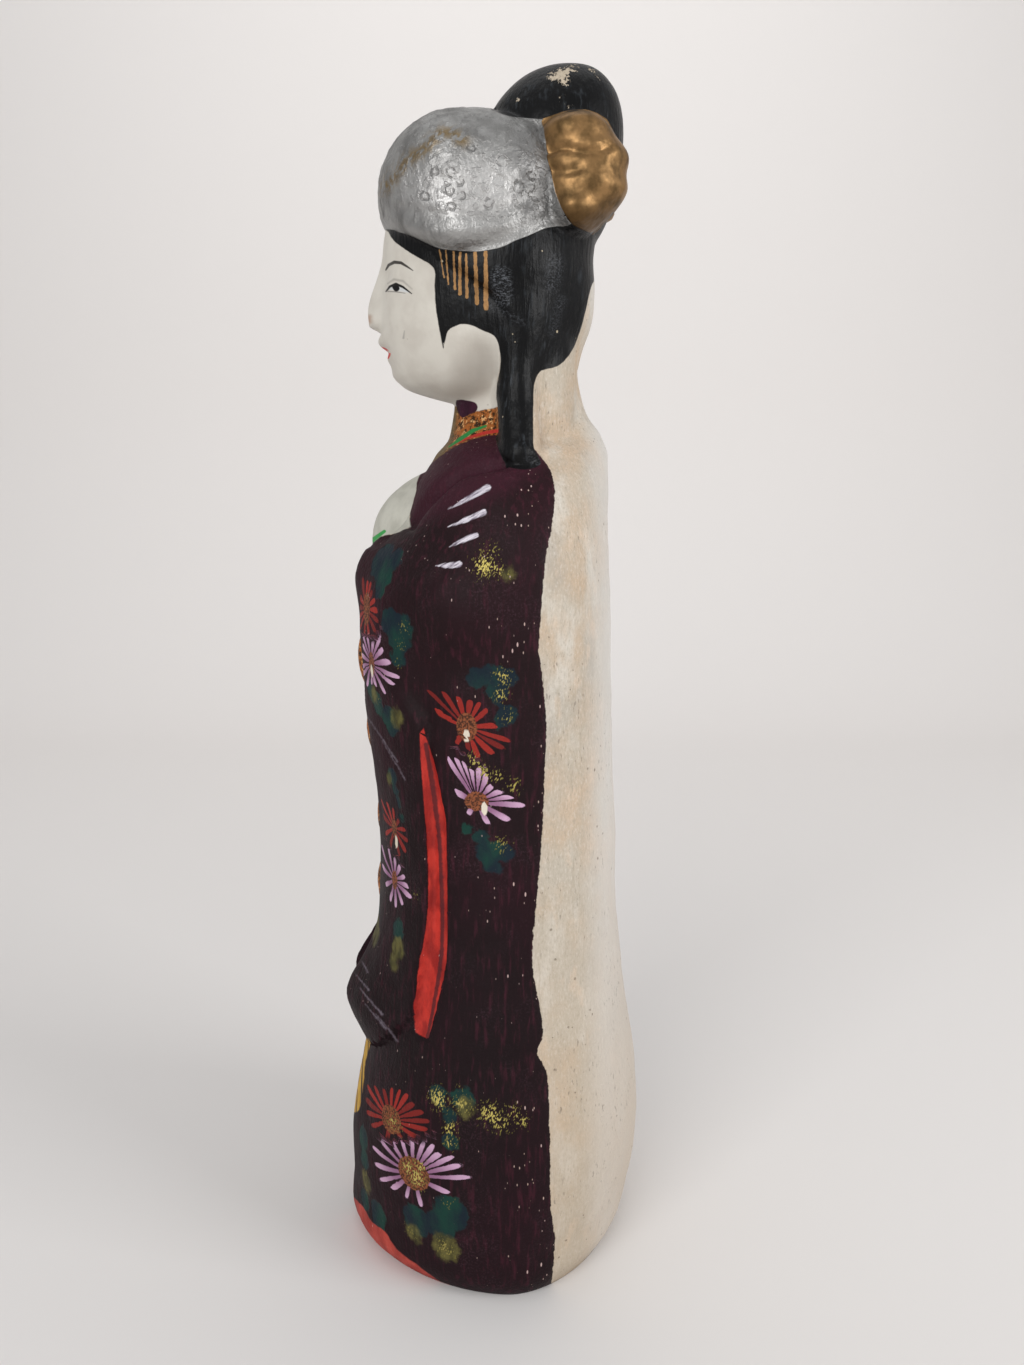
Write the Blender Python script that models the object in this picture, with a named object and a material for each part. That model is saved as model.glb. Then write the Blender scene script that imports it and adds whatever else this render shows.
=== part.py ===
"""A standing clay doll of a woman in an open robe with long hanging sleeves.

It is press-moulded and painted in one piece. Metres, +Z up. The doll faces -Y, its
left side is +X, and it stands on z = 0 with the origin under the middle of its box.
The carving is laid out in parts, PARTS_HIGH of them to the doll's height.
"""

import bmesh
import bpy
import numpy as np
from mathutils import Vector

# Driving sizes
HEIGHT = 0.300
PARTS_HIGH = 300
PART = HEIGHT / PARTS_HIGH

# Mesh grid: columns run round the doll and rows run up it
COLUMNS = 56
BASE_ROWS = 3
ROBE_ROWS = 27
CHEST_ROWS = 19
FACE_ROWS = 15
TEMPLE_ROWS = 7
CROWN_ROWS = 15
FRONT_CROWDING = 0.42
EDGE_SOFTNESS = 3.2

# Heights of the doll's stages, in parts
CHEST = 168
CHIN = 221
EYES = 246
CROWN = 268

# Body sections: height, half width, front, back, squareness in front, squareness behind
BODY = (
    (0, 37.4, -36.6, 31.0, 1.8, 1.75),
    (3, 39.0, -37.4, 32.8, 1.82, 1.8),
    (14, 41.0, -37.6, 35.6, 1.86, 1.85),
    (28, 42.0, -37.2, 37.4, 1.92, 2.0),
    (45, 41.4, -34.4, 36.8, 2.0, 2.15),
    (65, 39.8, -30.4, 33.8, 2.1, 2.3),
    (90, 37.8, -26.6, 31.1, 2.2, 2.4),
    (115, 36.6, -25.8, 30.4, 2.25, 2.5),
    (140, 36.6, -27.7, 29.3, 2.25, 2.5),
    (165, 37.2, -28.8, 28.6, 2.25, 2.5),
    (180, 36.4, -27.4, 28.2, 2.25, 2.5),
    (191, 33.2, -20.5, 27.9, 2.25, 2.5),
    (200, 28.0, -17.2, 27.8, 2.2, 2.4),
    (206, 22.0, -13.4, 27.6, 2.1, 2.3),
    (211, 16.4, -11.4, 27.4, 2.0, 2.2),
    (216, 13.6, -10.4, 24.0, 2.0, 2.2),
    (224, 13.2, -9.6, 21.4, 2.0, 2.2),
    (240, 13.2, -8.0, 20.0, 2.0, 2.2),
)
BODY_MIDDLE = 4

# Face and skull sections: height, half width, front, back
SKULL = (
    (217.5, 6.0, -6.0, 8.0),
    (219.6, 10.5, -10.6, 12.0),
    (221.2, 12.8, -16.8, 14.0),
    (222.6, 14.4, -21.2, 16.0),
    (224.6, 16.2, -23.8, 18.0),
    (228, 18.4, -25.4, 20.0),
    (232.5, 20.2, -26.5, 21.4),
    (238, 21.4, -27.6, 23.4),
    (246, 22.3, -28.0, 24.2),
    (254, 22.8, -27.7, 23.8),
    (262, 23.0, -26.4, 24.6),
    (272, 21.0, -21.5, 23.0),
    (282, 14.0, -12.0, 14.0),
    (287, 5.0, -4.0, 6.0),
)
SKULL_MIDDLE = -2.5
SKULL_FRONT_POWER = 2.0
SKULL_BACK_POWER = 2.2

# Hem of the sleeve and its open back edge, at the doll's side
SLEEVE_TOP = 176
SLEEVE_TIP = 56
SLEEVE_REAR_CORNER = 70
SLEEVE_BACK_EDGE = -15.0
SLEEVE_EDGE_THICKNESS = 1.8
SLEEVE_FRONT = ((48, 3.0), (58, 5.4), (66, 8.0), (73, 7.4), (82, 4.6), (95, 2.8), (120, 3.6), (150, 4.6), (176, 5.0))
SLEEVE_INNER = ((48, 9.0), (75, 6.5), (110, 4.6), (150, 4.2), (176, 3.6))

# Robe opening over the chest: height and half width of the pale under-robe
OPENING = ((184, 15.5), (190, 14.0), (198, 10.5), (204, 6.0), (207, 1.0))
ROBE_THICKNESS = 1.5

# Sash that hangs between the sleeves, with its row of soft lumps
SASH_HALF_WIDTH = 5.2
SASH_LUMPS = (155, 136, 113, 94)
SASH_LUMP = 2.6

# Cap: its middle, how far back it reaches, and its lower edge by place from front to back
CAP_CENTRE = (0, -7.5, 268.5)
CAP_BACK_END = 21.0
CAP_EDGE = ((-29, 261.5), (-20, 255.5), (-10, 250.0), (0, 250.2), (8, 252.8), (17, 256.8), (30, 262))

# Tiers of the gathered knot: height, depth place, half depth, half height
KNOT_TIERS = ((278.7, 19.9, 8.4, 4.8), (272.2, 22.2, 9.4, 4.6), (265.6, 22.6, 8.6, 4.6), (260.4, 21.7, 5.6, 4.4))


def smooth_step(value, low, high):
    """0 below low, 1 above high, and smooth between."""
    share = np.clip((value - low) / (high - low), 0, 1)
    return share * share * (3 - 2 * share)


def bump(value, centre, spread):
    """A bell of height 1."""
    return np.exp(-(((value - centre) / spread) ** 2))


def join(first, second, blend):
    """Two fields joined with a fillet of about this size."""
    share = np.clip(0.5 + 0.5 * (second - first) / blend, 0, 1)
    return second + (first - second) * share - blend * share * (1 - share)


def overlap(first, second, blend):
    """What two fields share, with a rounded edge."""
    return -join(-first, -second, blend)


def curve(at, table, column=1):
    """A smooth line through one column of a table, read at each place."""
    rows = np.array(table, float)
    places, values = rows[:, 0], rows[:, column]
    slopes = np.gradient(values, places)
    low = np.clip(np.searchsorted(places, at) - 1, 0, len(places) - 2)
    width = places[low + 1] - places[low]
    t = np.clip((at - places[low]) / width, 0, 1)
    start, end = values[low], values[low + 1]
    rise_in, rise_out = slopes[low] * width, slopes[low + 1] * width
    cubic = (2 * t**3 - 3 * t**2 + 1) * start + (t**3 - 2 * t**2 + t) * rise_in
    return cubic + (3 * t**2 - 2 * t**3) * end + (t**3 - t**2) * rise_out


def section(x, y, half_width, front, back, middle, front_power, back_power):
    """Distance outside a rounded section that is widest at y = middle."""
    ahead = y < middle
    depth = np.where(ahead, middle - front, back - middle)
    power = np.where(ahead, front_power, back_power)
    reach = (np.abs(x) / half_width) ** power + (np.abs(y - middle) / depth) ** power
    reach = np.maximum(reach, 1e-6) ** (1 / power)
    return np.hypot(x, y - middle) * (1 - 1 / reach)


def egg(p, centre, side, front, back, up, down):
    """Distance outside an egg whose radii differ to the front, back, top and bottom."""
    x, y, z = (p - np.array(centre)).T
    rx, ry, rz = side, np.where(y < 0, front, back), np.where(z > 0, up, down)
    reach = np.sqrt((x / rx) ** 2 + (y / ry) ** 2 + (z / rz) ** 2)
    slope = np.sqrt((x / rx**2) ** 2 + (y / ry**2) ** 2 + (z / rz**2) ** 2)
    return reach * (reach - 1) / np.maximum(slope, 1e-6)


def rod(p, start, end, start_radius, end_radius):
    """Distance outside a round-ended rod that may taper."""
    start, axis = np.array(start, float), np.subtract(end, start).astype(float)
    share = np.clip((p - start) @ axis / (axis @ axis), 0, 1)
    radius = start_radius + share * (end_radius - start_radius)
    return np.linalg.norm(p - start - share[:, None] * axis, axis=1) - radius


def frontness(x, y):
    """1 where the surface faces forward, 0 at the sides and behind."""
    return np.clip(-y / np.maximum(np.hypot(x, y), 1e-6), 0, 1)


def sleeve_reach(x, y, z):
    """How far inside the hanging sleeve's outline a point is."""
    back_edge = SLEEVE_BACK_EDGE - 4.5 * smooth_step(z, 95, 62)
    hem_slope = (SLEEVE_REAR_CORNER - SLEEVE_TIP) / 17
    hem = SLEEVE_TIP + hem_slope * np.clip(y + 36, 0, 20)
    side = overlap(y - back_edge, hem - z, 2.0)
    inner = curve(z, SLEEVE_INNER) - np.abs(x)
    return -overlap(overlap(side, inner, 1.5), z - SLEEVE_TOP - 6, 3.0)


def sleeve_slit(x, y, z):
    """How far inside the lens-shaped opening behind the sleeve's edge a point is."""
    middle = SLEEVE_BACK_EDGE + 2.4 - 4.5 * smooth_step(z, 95, 62)
    half = 2.4 * np.clip(1 - ((z - 103) / 40) ** 2, 0, 1) ** 0.6 + 0.9 * smooth_step(z, 90, 66)
    return np.where((z > 64) & (z < 142) & (y < 0), half - np.abs(y - middle), -3.0)


def sleeve_relief(x, y, z):
    """The sleeves hang over the robe: thin at the back edge and full in front."""
    reach = sleeve_reach(x, y, z)
    full = SLEEVE_EDGE_THICKNESS + (curve(z, SLEEVE_FRONT) - SLEEVE_EDGE_THICKNESS) * frontness(x, y) ** 2
    fade = 1 - smooth_step(z, SLEEVE_TOP - 14, SLEEVE_TOP + 4)
    groove = 0.9 * smooth_step(sleeve_slit(x, y, z), -0.6, 0.8)
    return full * fade * smooth_step(reach, -0.3 * EDGE_SOFTNESS, EDGE_SOFTNESS) - groove


def robe_relief(x, y, z):
    """The open robe stands proud of the chest, with a pressed line along its collar."""
    opening = np.where(z > 183, curve(z, OPENING), -4.0)
    past_edge = np.where(y < 0, np.abs(x) - opening, 6.0)
    on_body = 1 - smooth_step(z, 206, 211)
    collar = bump(past_edge, 9.0, 1.1) * smooth_step(z, 182, 188)
    return (ROBE_THICKNESS * smooth_step(past_edge, -0.5, 0.6 * EDGE_SOFTNESS) - 0.7 * collar) * on_body


def sleeve_folds(x, y, z):
    """Creases that fan out from the bent elbow over the upper sleeve."""
    out, up = y + 20, z - 166
    angle = np.arctan2(up, out)
    near = smooth_step(np.hypot(out, up), 6, 14) * (1 - smooth_step(np.hypot(out, up), 26, 40))
    fan = smooth_step(angle, -0.35, 0.05) * (1 - smooth_step(angle, 0.95, 1.35))
    return 0.55 * np.cos(angle * 15.0) * near * fan * (1 - frontness(x, y) ** 4)


def body(p):
    """Robe, sleeves, chest and the column of the neck."""
    x, y, z = p.T
    half_width, front, back, front_power, back_power = (curve(z, BODY, c) for c in range(1, 6))
    d = section(x, y, half_width, front, back, BODY_MIDDLE, front_power, back_power)
    d = d - sleeve_relief(x, y, z) - robe_relief(x, y, z) - sleeve_folds(x, y, z)
    mirrored = np.column_stack((np.abs(x), y, z))
    forearm = rod(mirrored, (29, -8, 171), (7, -25.5, 176), 9.4, 8.6)
    d = join(d, forearm, 10)
    chest = egg(p, (0, -15, 185), 15.5, 16.6, 10, 16.0, 12)
    return np.maximum(join(d, chest, 1.6), z - BODY[-1][0])


def sash(p):
    """The brocade ends that hang between the sleeves, as a row of soft lumps."""
    d = np.full(len(p), 50.0)
    for height in SASH_LUMPS:
        front = curve(np.array([float(height)]), BODY, 2)[0] - curve(np.array([float(height)]), SLEEVE_FRONT)[0]
        lump = egg(p, (0, front + 5.2, height), SASH_HALF_WIDTH, 6.2, 6, 10.5, 10.5)
        d = join(d, lump, SASH_LUMP)
    return d


def face_relief(x, y, z):
    """Nose, lips, eye hollows and cheeks, as height over the plain face."""
    ahead = y < -8
    side = np.abs(x)
    ridge = 3.7 * smooth_step(z, 256, 241.0) * smooth_step(z, 236.2, 238.6)
    nose = ridge * bump(x, 0, 1.5 + 1.5 * smooth_step(z, 250, 240))
    wings = 0.9 * bump(side, 2.6, 1.3) * bump(z, 239.6, 1.5)
    upper_lip = 2.2 * bump(z, 234.4, 2.2) * bump(x, 0, 5.5)
    lower_lip = 0.75 * bump(z, 230.2, 1.3) * bump(x, 0, 3.4)
    mouth = -0.5 * bump(z, 232.0, 0.8) * bump(x, 0, 4.6)
    hollow = -1.15 * bump(side, 7.2, 4.6) * bump(z, 249.0, 4.4)
    lid = 0.55 * bump(side, 10.2, 4.4) * bump(z, 246.3, 2.0)
    cheek = 0.5 * bump(side, 11.5, 6) * bump(z, 237, 6)
    chin = 0.7 * bump(x, 0, 5.0) * bump(z, 226.2, 2.6)
    return np.where(ahead, nose + wings + upper_lip + lower_lip + mouth + hollow + lid + cheek + chin, 0)


def hair_reach(y, z):
    """How far inside the dressed hair a point at the head's side is, seen from the side."""
    temple = y + 13.2 - 2.2 * smooth_step(z, 250, 231)
    brow = z - (251.0 + 0.69 * (-13.0 - y))
    hairline = -overlap(-temple, -brow, 1.5)
    arch = z - (235.4 - 0.30 * (y + 4.6) ** 2 * (y < -4.6) - 0.16 * (y + 4.6) ** 2 * (y >= -4.6))
    behind = y - 1.4
    return -overlap(-hairline, -np.maximum(arch, behind), 0.8)


def hair(p):
    """Hair over the sides and back of the head, with the full roll at the nape."""
    x, y, z = p.T
    mass = egg(p, (0, 3.4, 250), 26.0, 30.0, 20.9, 30.0, 25.0)
    nape_line = 224.5 + 1.15 * np.clip(y - 4, 0, 30)
    lifted = overlap(mass, -np.minimum(hair_reach(y, z), z - nape_line + 3), 1.2)
    nape = section(x, y, 19.5, -2.0, 21.0, 6, 2.2, 2.6)
    return join(lifted, overlap(nape, z - 244, 6), 4.0)


def head(p):
    """Face and skull, with the side hair raised over the temple."""
    x, y, z = p.T
    columns = [curve(z, SKULL, c) for c in (1, 2, 3)]
    d = section(x, y, *columns, SKULL_MIDDLE, SKULL_FRONT_POWER, SKULL_BACK_POWER)
    d = np.where(z < SKULL[0][0], np.maximum(d, SKULL[0][0] - z), d)
    d = np.where(z > SKULL[-1][0], np.maximum(d, z - SKULL[-1][0]), d)
    raised = 1.0 * smooth_step(hair_reach(y, z), -0.4, 0.6) * smooth_step(z, 222, 228)
    return d - face_relief(x, y, z) - raised


def locks(p):
    """The lock of hair that hangs beside the neck on each side, down to the shoulder."""
    mirrored = np.column_stack((np.abs(p[:, 0]), p[:, 1], p[:, 2]))
    upper = rod(mirrored, (18.0, 6.0, 236), (18.6, 5.8, 220), 5.4, 4.6)
    lower = rod(mirrored, (18.6, 5.8, 220), (23.0, 6.6, 205.6), 4.6, 4.9)
    return join(upper, lower, 1.5)


def cap(p):
    """The padded headcloth, full at its lower edge and cut off along it."""
    x, y, z = p.T
    low = smooth_step(z, 266, 252)
    ahead = np.minimum(y - CAP_CENTRE[1], 0)
    fuller = np.column_stack((x / (1 + 0.09 * low), y + ahead * 0.12 * low, z))
    cloth = egg(fuller, CAP_CENTRE, 28.8, 21.1, 32.0, 19.8, 33.0)
    cloth = overlap(cloth, y - CAP_BACK_END, 3.0)
    return overlap(cloth, curve(y, CAP_EDGE) - z, 2.6)


def knots(p):
    """The gathered knot of cloth at each side behind the cap."""
    mirrored = np.column_stack((np.abs(p[:, 0]), p[:, 1], p[:, 2]))
    d = egg(mirrored, (13.5, 20.5, 270), 10.5, 9.5, 9.5, 12.0, 13.0)
    for height, depth, half_depth, half_height in KNOT_TIERS:
        tier = egg(mirrored, (16.5, depth, height), 9.0, half_depth, half_depth, half_height, half_height)
        d = join(d, tier, 2.8)
    return d


def bun(p):
    """The smooth bun that rises behind the cap."""
    low = egg(p, (0, 17.0, 280), 17.4, 19.6, 15.8, 19.0, 26.0)
    crest = egg(p, (0, 20.0, 287), 14.0, 13.0, 12.2, 11.6, 16.0)
    return join(low, crest, 3.0)


def doll(p):
    """The whole surface as one field: negative inside, in parts."""
    d = join(body(p), head(p), 2.2)
    d = join(d, hair(p), 0.9)
    d = join(d, locks(p), 1.2)
    d = join(d, sash(p), 1.2)
    d = join(d, cap(p), 0.5)
    d = join(d, bun(p), 1.2)
    return join(d, knots(p), 1.0)


def surface(origins, rays):
    """The outermost point of the doll along each ray, by stepping inwards and then halving."""
    far, step = 62.0, 1.0
    outside = np.full(len(rays), far)
    found = np.zeros(len(rays), bool)
    reach = far
    while reach > step:
        reach -= step
        hit = ~found & (doll(origins + rays * reach) < 0)
        outside[hit] = reach
        found |= hit
    low, high = outside, outside + step
    for _ in range(12):
        middle = (low + high) / 2
        inside = doll(origins + rays * middle[:, None]) < 0
        low, high = np.where(inside, middle, low), np.where(inside, high, middle)
    return origins + rays * ((low + high) / 2)[:, None]


def row_places():
    """Height and tilt of every row of rays, from the foot's rim to the crown."""
    heights = np.concatenate(
        (
            np.linspace(0, CHEST, ROBE_ROWS, endpoint=False),
            np.linspace(CHEST, CHIN, CHEST_ROWS, endpoint=False),
            np.linspace(CHIN, EYES, FACE_ROWS, endpoint=False),
            np.linspace(EYES, CROWN, TEMPLE_ROWS, endpoint=False),
        )
    )
    tilts = np.linspace(0, np.pi / 2, CROWN_ROWS + 1)
    level = np.column_stack((heights, np.zeros(len(heights))))
    return np.vstack((level, np.column_stack((np.full(len(tilts), CROWN), tilts))))


def ray_grid():
    """Origins and directions of all rays, row by row, with more of them in front."""
    turn = np.arange(COLUMNS) * 2 * np.pi / COLUMNS
    angle = turn - FRONT_CROWDING * np.sin(turn)
    places = row_places()
    height, tilt = np.repeat(places, COLUMNS, axis=0).T
    angle = np.tile(angle, len(places))
    rays = np.column_stack((np.sin(angle) * np.cos(tilt), -np.cos(angle) * np.cos(tilt), np.sin(tilt)))
    setback = 8.0 * smooth_step(height, EYES, CROWN)
    return np.column_stack((np.zeros(len(height)), setback, height)), rays, len(places)


def carve_doll(collection):
    """Moves the points of a UV sphere onto the doll's surface, ring by ring."""
    origins, rays, rows = ray_grid()
    rim_and_up = surface(origins, rays).reshape(rows, COLUMNS, 3)
    base = [rim_and_up[0] * [share, share, 0] for share in np.arange(1, BASE_ROWS) / BASE_ROWS]
    rings = np.concatenate((base, rim_and_up[:-1]))

    mesh = bmesh.new()
    bmesh.ops.create_uvsphere(mesh, u_segments=COLUMNS, v_segments=len(rings) + 1, radius=1)
    points = sorted(mesh.verts, key=lambda v: v.co.z)
    points[0].co = Vector((0, 0, 0))
    points[-1].co = Vector(rim_and_up[-1].mean(axis=0) * PART)
    for number, ring in enumerate(rings):
        level = points[1 + number * COLUMNS : 1 + (number + 1) * COLUMNS]
        level.sort(key=lambda v: np.arctan2(v.co.x, -v.co.y) % (2 * np.pi))
        for point, place in zip(level, ring, strict=True):
            point.co = Vector(place * PART)
    bmesh.ops.recalc_face_normals(mesh, faces=mesh.faces)

    data = bpy.data.meshes.new("clay_doll")
    mesh.to_mesh(data)
    mesh.free()
    data.shade_smooth()
    data.materials.append(painted_clay())
    doll_object = bpy.data.objects.new("clay_doll", data)
    collection.objects.link(doll_object)
    return doll_object


def painted_clay():
    """Matt dark plum paint over pale fired clay."""
    material = bpy.data.materials.new("painted_clay")
    material.use_nodes = True
    shader = material.node_tree.nodes["Principled BSDF"]
    shader.inputs["Base Color"].default_value = (0.075, 0.018, 0.032, 1)
    shader.inputs["Roughness"].default_value = 0.6
    shader.inputs["Metallic"].default_value = 0.0
    return material


def main():
    for leftover in list(bpy.data.objects):
        bpy.data.objects.remove(leftover)
    collection = bpy.data.collections.new("clay_doll")
    bpy.context.scene.collection.children.link(collection)
    carve_doll(collection)


main()
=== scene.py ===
import bmesh
import bpy
import numpy as np
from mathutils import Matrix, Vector, noise


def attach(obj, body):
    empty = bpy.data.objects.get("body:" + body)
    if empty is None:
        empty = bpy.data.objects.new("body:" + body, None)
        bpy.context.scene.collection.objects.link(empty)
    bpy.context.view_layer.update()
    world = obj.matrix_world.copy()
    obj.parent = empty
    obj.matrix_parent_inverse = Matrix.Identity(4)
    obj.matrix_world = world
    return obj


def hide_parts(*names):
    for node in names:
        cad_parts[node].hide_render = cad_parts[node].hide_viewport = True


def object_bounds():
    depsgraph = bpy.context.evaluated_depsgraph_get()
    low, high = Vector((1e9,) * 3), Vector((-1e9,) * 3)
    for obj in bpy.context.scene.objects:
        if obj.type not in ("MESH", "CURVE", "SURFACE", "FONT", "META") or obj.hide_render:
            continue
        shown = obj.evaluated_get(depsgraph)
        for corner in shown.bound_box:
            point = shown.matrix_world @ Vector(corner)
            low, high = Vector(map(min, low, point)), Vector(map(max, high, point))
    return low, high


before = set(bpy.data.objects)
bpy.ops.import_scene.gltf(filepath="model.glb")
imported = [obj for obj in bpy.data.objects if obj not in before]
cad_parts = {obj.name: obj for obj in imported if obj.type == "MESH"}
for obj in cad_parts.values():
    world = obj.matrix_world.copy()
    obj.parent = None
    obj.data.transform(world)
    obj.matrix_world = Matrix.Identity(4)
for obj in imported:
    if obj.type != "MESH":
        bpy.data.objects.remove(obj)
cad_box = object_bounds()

HEIGHT = 0.300
PARTS_HIGH = 300
PART = HEIGHT / PARTS_HIGH

# Mesh grid: columns run round the doll and rows run up it
COLUMNS = 270
BASE_ROWS = 6
ROBE_ROWS = 130
CHEST_ROWS = 76
FACE_ROWS = 52
TEMPLE_ROWS = 34
CROWN_ROWS = 56
FRONT_CROWDING = 0.25
EDGE_SOFTNESS = 1.5
# How far from the middle line the rays set out
FAR = 62.0

# The eye that saw the left side: its place and slope, and the picture's size in points
EYE = np.array((288.1, 4.6, 188.3))
EYE_SLOPE = np.radians(8.0)
PICTURE_WIDE = 1024
PICTURE_HIGH = 1365
FOCUS = 1104.0
# About how many parts of the doll a point of the picture covers
PICTURE_POINT = 0.25

# Heights of the doll's stages, in parts
CHEST = 168
CHIN = 221
EYES = 246
CROWN = 268
HEAD_PAINT_FROM = CHIN - 1.5
ROBE_PAINT_TOP = 212
SKIN_FROM = 200
COLLAR_FROM = 180
LOCK_FOOT = 208
LOCK_HEAD = 234

# Body sections: height, half width, front, back, squareness in front, squareness behind
BODY = (
    (0, 36.8, -35.9, 30.6, 1.8, 1.75),
    (3, 38.8, -37.5, 32.6, 1.82, 1.8),
    (14, 41.0, -37.4, 35.6, 1.86, 1.85),
    (28, 42.0, -37.2, 37.4, 1.92, 2.0),
    (45, 41.4, -34.4, 36.8, 2.0, 2.15),
    (65, 39.8, -30.4, 33.8, 2.1, 2.3),
    (90, 37.8, -26.6, 31.1, 2.2, 2.4),
    (115, 36.6, -25.8, 30.4, 2.25, 2.5),
    (140, 36.6, -27.7, 29.3, 2.25, 2.5),
    (165, 37.2, -28.8, 28.6, 2.25, 2.5),
    (180, 36.4, -27.4, 28.2, 2.25, 2.5),
    (191, 33.2, -20.5, 27.9, 2.25, 2.5),
    (200, 28.0, -17.2, 27.8, 2.2, 2.4),
    (206, 22.0, -13.4, 27.6, 2.1, 2.3),
    (211, 16.4, -11.4, 27.4, 2.0, 2.2),
    (216, 13.6, -10.4, 24.0, 2.0, 2.2),
    (224, 13.2, -9.6, 21.4, 2.0, 2.2),
    (240, 13.2, -8.0, 20.0, 2.0, 2.2),
)
BODY_MIDDLE = 4

# Face and skull sections: height, half width, front, back
SKULL = (
    (217.5, 6.0, -6.0, 8.0),
    (219.6, 10.5, -10.6, 12.0),
    (221.2, 12.8, -16.8, 14.0),
    (222.6, 14.4, -21.2, 16.0),
    (224.6, 16.2, -23.8, 18.0),
    (228, 18.4, -25.4, 20.0),
    (232.5, 20.2, -26.5, 21.4),
    (238, 21.4, -27.6, 23.4),
    (246, 22.3, -28.0, 24.2),
    (254, 22.8, -27.7, 23.8),
    (262, 23.0, -26.4, 24.6),
    (272, 21.0, -21.5, 23.0),
    (282, 14.0, -12.0, 14.0),
    (287, 5.0, -4.0, 6.0),
)
SKULL_MIDDLE = -2.5
SKULL_FRONT_POWER = 2.0
SKULL_BACK_POWER = 2.2

# Hem of the sleeve and its open back edge, at the doll's side
SLEEVE_TOP = 176
SLEEVE_TIP = 50.0
SLEEVE_REAR_CORNER = 70
SLEEVE_BACK_EDGE = -15.0
SLEEVE_EDGE_THICKNESS = 1.8
SLEEVE_FRONT = (
    (46, 0.3), (50, 0.4), (53, 0.6), (55.8, 1.7), (58.5, 4.2), (62, 7.0), (66, 8.9), (69, 8.7), (72, 7.6),
    (75, 6.1), (80, 3.9), (85, 2.7), (90, 2.5), (95, 2.5), (120, 2.9), (150, 4.1), (176, 4.8),
)
SLEEVE_INNER = ((48, 9.0), (75, 6.5), (110, 4.6), (150, 4.2), (176, 3.6))

# Robe opening over the chest: height and half width of the pale under-robe
OPENING = ((184, 15.5), (190, 14.0), (198, 10.5), (204, 6.0), (207, 1.0))
ROBE_THICKNESS = 1.5

# Sash that hangs between the sleeves, with its row of soft lumps
SASH_HALF_WIDTH = 5.2
SASH_LUMPS = (155, 136, 113, 94)
SASH_LUMP = 2.6

# Cap: its lower edge by place from front to back
CAP_CENTRE = (0, -7.5, 268.5)
CAP_BACK_END = 21.0
CAP_EDGE = ((-29, 261.5), (-20, 256.0), (-10, 251.2), (0, 251.3), (8, 253.2), (17, 256.8), (30, 262))

# Tiers of the gathered knot: height, depth place, half depth, half height
KNOT_TIERS = (
    (278.2, 19.4, 8.4, 4.8),
    (272.6, 21.6, 10.2, 5.6),
    (266.0, 21.4, 9.8, 4.8),
    (260.8, 18.6, 6.0, 4.0),
)
FAR_KNOT_RISE = 8.0
BUN_TOP = 300.1

# Outlines and lines of the paint, in points of the picture of the left side
PAINT_EDGE = (
    (536, 452), (543, 460.5), (550, 470), (554.7, 492), (552, 526), (546, 554), (542, 599), (538.7, 647),
    (540.6, 663), (545, 705), (546, 739), (544, 773), (543, 820), (541.6, 838), (537, 895), (533.5, 930),
    (532, 964), (538, 996), (543, 1033), (537, 1053), (546.6, 1072), (549, 1125), (550, 1174), (551, 1210),
    (555, 1239), (551, 1283), (550, 1340),
)
NECKLINE = (
    (345, 556), (372, 543.5), (381, 537), (388, 535), (399, 533), (407, 527), (410, 517.5), (414, 503),
    (417, 493), (417.6, 482),
)
ROBE = (
    *PAINT_EDGE, (300, 1340), (300, 560), *NECKLINE, (424, 470), (436, 458), (450, 446.5), (462, 439),
    (480, 433.5), (497, 430), (520, 440),
)
UNDER_ROBE = ((425, 466), *NECKLINE[::-1], (320, 540), (350, 480), (400, 440), (420, 450))
HAIR = (
    (384.5, 229), (394, 241), (412, 254), (433.5, 267.6), (434.6, 286), (436, 309), (439, 327), (442, 343),
    (443.4, 349), (444.6, 343), (448, 331), (455, 326), (463, 324), (472.5, 325.5), (484, 331), (493, 335),
    (498, 343), (500, 355), (500, 366), (497, 383.5), (495.5, 395), (496, 407.6), (495, 433), (500, 452.5),
    (508, 466.5), (520, 470.5), (534, 469), (540.6, 464), (538, 458), (533.6, 444), (533.6, 396),
    (535, 382), (541, 371), (559, 365.5), (573, 349), (583, 322), (588, 300), (592, 285), (600, 274),
    (625, 264), (670, 256), (670, 30), (360, 30), (360, 229),
)
SKIN = (
    (360, 240), (500, 240), (500, 355), (500, 366), (497, 383.5), (500, 404), (505, 412), (485, 414),
    (466, 420), (450, 420), (430, 430), (360, 420),
)
COLLAR_STUB = ((456.5, 400), (475.4, 402.6), (477, 410.4), (469, 414.6), (462, 417.6), (457.5, 411))
CAP_PAINT = (
    (340, 229), (387.6, 229), (399, 232), (412, 236), (424.5, 242), (435, 247), (445, 249.6), (462, 251),
    (477, 251.5), (489, 250), (503, 246.6), (515, 240.6), (527.5, 236), (546, 228), (560, 226), (578, 222),
    (562, 200), (562, 121), (541, 119), (517, 117), (493.6, 111.5), (482, 96), (470, 60), (340, 60),
)
KNOT_PAINT = (
    (541, 119), (546, 142), (547, 158), (551.5, 174), (555, 192), (562, 210), (572, 223), (582, 229.5),
    (592.7, 235), (604, 226), (613, 212), (650, 205), (650, 130), (616, 136), (607, 119), (597, 113),
    (586.6, 109.5), (562, 112),
)
CAP_RINGS = (
    (450.6, 172.7, 4.2), (459.7, 181, 4.0), (448.8, 189.7, 4.6), (461, 195.7, 3.6), (451, 206.6, 3.8),
    (470.6, 147, 3.2), (519, 186, 5.5), (502, 160, 5), (532, 176, 4), (435, 172, 4), (489, 203, 5),
    (424, 196, 4),
)
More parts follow.
